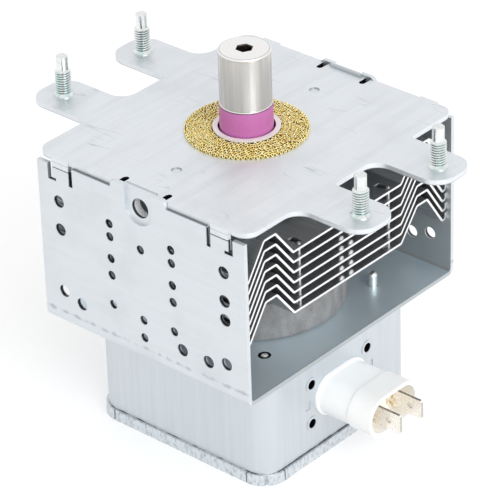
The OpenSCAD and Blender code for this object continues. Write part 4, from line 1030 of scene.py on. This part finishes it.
CAMERA_AZIMUTH = math.radians(41.90)
CAMERA_ELEVATION = math.radians(31.06)
CAMERA_ROLL = math.radians(1.83)
CAMERA_DISTANCE = 965.47 * MM
CAMERA_LENS = 234.8
CAMERA_SENSOR = 36
CAMERA_AIM = Vector((0, 0, -17 * MM))
CAMERA_OFFSET = (-0.45 * MM, -20.95 * MM)
SKY_LIGHT = 0.95
KEY_PLACE = (1.2, -0.42, 0.55)
KEY_SIZE = 0.9
KEY_POWER = 9.5
FLOOR_HALF = 3
FLOOR_TINT = (0.8, 0.8, 0.8, 1)
FLOOR_GLOW = 0.25


class MAGNETRON_OT_stage(bpy.types.Operator):
    """Sets the floor, the light and the camera"""

    bl_idname = "magnetron.stage"
    bl_label = "Stage"

    def execute(self, context):
        scene = context.scene
        scene.view_settings.view_transform = "Standard"
        self.world(scene)
        self.floor(scene)
        self.lamp(scene)
        self.camera(scene)
        return {"FINISHED"}

    def seen(self, tree):
        """1 on rays from the camera, a mirror or glass, and 0 on light that scatters."""
        path = add_node(tree, "ShaderNodeLightPath").outputs
        either = add_node(tree, "ShaderNodeMath", {0: path["Is Camera Ray"], 1: path["Is Glossy Ray"]},
                          operation="MAXIMUM").outputs[0]
        return add_node(tree, "ShaderNodeMath", {0: either, 1: path["Is Transmission Ray"]},
                        operation="MAXIMUM").outputs[0]

    def world(self, scene):
        """A white room that also lights the part softly."""
        world = bpy.data.worlds.new("white room")
        world.use_nodes = True
        tree = world.node_tree
        tree.nodes.clear()
        strength = add_node(tree, "ShaderNodeMapRange", {
            "Value": self.seen(tree), "To Min": SKY_LIGHT, "To Max": 1.0}).outputs["Result"]
        sky = add_node(tree, "ShaderNodeBackground", {"Color": (1, 1, 1, 1), "Strength": strength})
        add_node(tree, "ShaderNodeOutputWorld", {"Surface": sky.outputs["Background"]})
        scene.world = world

    def floor(self, scene):
        """A pale floor under the lid that keeps the shadow."""
        bm = bmesh.new()
        bmesh.ops.create_grid(bm, x_segments=1, y_segments=1, size=FLOOR_HALF)
        bmesh.ops.translate(bm, verts=bm.verts, vec=(0, 0, CAD_BOX[0][2]))
        mesh = bpy.data.meshes.new("floor")
        bm.to_mesh(mesh)
        bm.free()
        material = bpy.data.materials.new("pale floor")
        material.use_nodes = True
        tree = material.node_tree
        tree.nodes.clear()
        matt = add_node(tree, "ShaderNodeBsdfDiffuse", {"Color": FLOOR_TINT})
        strength = add_node(tree, "ShaderNodeMapRange", {
            "Value": self.seen(tree), "To Min": 0.0, "To Max": FLOOR_GLOW}).outputs["Result"]
        glow = add_node(tree, "ShaderNodeEmission", {"Color": (1, 1, 1, 1), "Strength": strength})
        both = add_node(tree, "ShaderNodeAddShader", {0: matt.outputs["BSDF"], 1: glow.outputs["Emission"]})
        add_node(tree, "ShaderNodeOutputMaterial", {"Surface": both.outputs["Shader"]})
        mesh.materials.append(material)
        floor = bpy.data.objects.new("floor", mesh)
        scene.collection.objects.link(floor)

    def lamp(self, scene):
        """A soft square lamp that faces the part."""
        light = bpy.data.lights.new("key", "AREA")
        light.size = KEY_SIZE
        light.energy = KEY_POWER
        lamp = bpy.data.objects.new("key", light)
        lamp.location = KEY_PLACE
        lamp.rotation_euler = (CAMERA_AIM - Vector(KEY_PLACE)).to_track_quat("-Z", "Y").to_euler()
        scene.collection.objects.link(lamp)

    def camera(self, scene):
        """The photograph's camera, turned about the part's middle."""
        data = bpy.data.cameras.new("camera")
        data.lens = CAMERA_LENS
        data.sensor_width = CAMERA_SENSOR
        back = Vector((math.sin(CAMERA_AZIMUTH) * math.cos(CAMERA_ELEVATION),
                       -math.cos(CAMERA_AZIMUTH) * math.cos(CAMERA_ELEVATION), math.sin(CAMERA_ELEVATION)))
        level = (-back).cross(Vector((0, 0, 1))).normalized()
        drop = (-back).cross(level)
        right = level * math.cos(CAMERA_ROLL) + drop * math.sin(CAMERA_ROLL)
        down = drop * math.cos(CAMERA_ROLL) - level * math.sin(CAMERA_ROLL)
        place = CAMERA_AIM + back * CAMERA_DISTANCE - right * CAMERA_OFFSET[0] - down * CAMERA_OFFSET[1]
        camera = bpy.data.objects.new("camera", data)
        turn = Matrix((right, -down, back)).transposed().to_4x4()
        camera.matrix_world = Matrix.Translation(place) @ turn
        scene.collection.objects.link(camera)
        scene.camera = camera


class MAGNETRON_PT_panel(bpy.types.Panel):
    """Lists the steps that dress the magnetron"""

    bl_label = "Magnetron"
    bl_idname = "MAGNETRON_PT_panel"
    bl_space_type = "VIEW_3D"
    bl_region_type = "UI"
    bl_category = "Magnetron"

    def draw(self, context):
        for operator in OPERATORS:
            self.layout.operator(operator.bl_idname)
        for group in (settings().sizes, settings().colours):
            for name in group.__annotations__:
                self.layout.prop(group, name)


OPERATORS = (
    MAGNETRON_OT_sheets, MAGNETRON_OT_studs, MAGNETRON_OT_antenna, MAGNETRON_OT_gasket, MAGNETRON_OT_fins,
    MAGNETRON_OT_magnets, MAGNETRON_OT_connector, MAGNETRON_OT_fasteners, MAGNETRON_OT_inside,
    MAGNETRON_OT_stage)
CLASSES = (MagnetronSizes, MagnetronColours, MagnetronSettings, *OPERATORS, MAGNETRON_PT_panel)


def register():
    for cls in CLASSES:
        bpy.utils.register_class(cls)
    bpy.types.Scene.magnetron = PointerProperty(type=MagnetronSettings)


def unregister():
    del bpy.types.Scene.magnetron
    for cls in reversed(CLASSES):
        bpy.utils.unregister_class(cls)


def main():
    """Dresses the part step by step."""
    register()
    for operator in OPERATORS:
        group, step = operator.bl_idname.split(".")
        getattr(getattr(bpy.ops, group), step)()


if __name__ == "__main__":
    main()
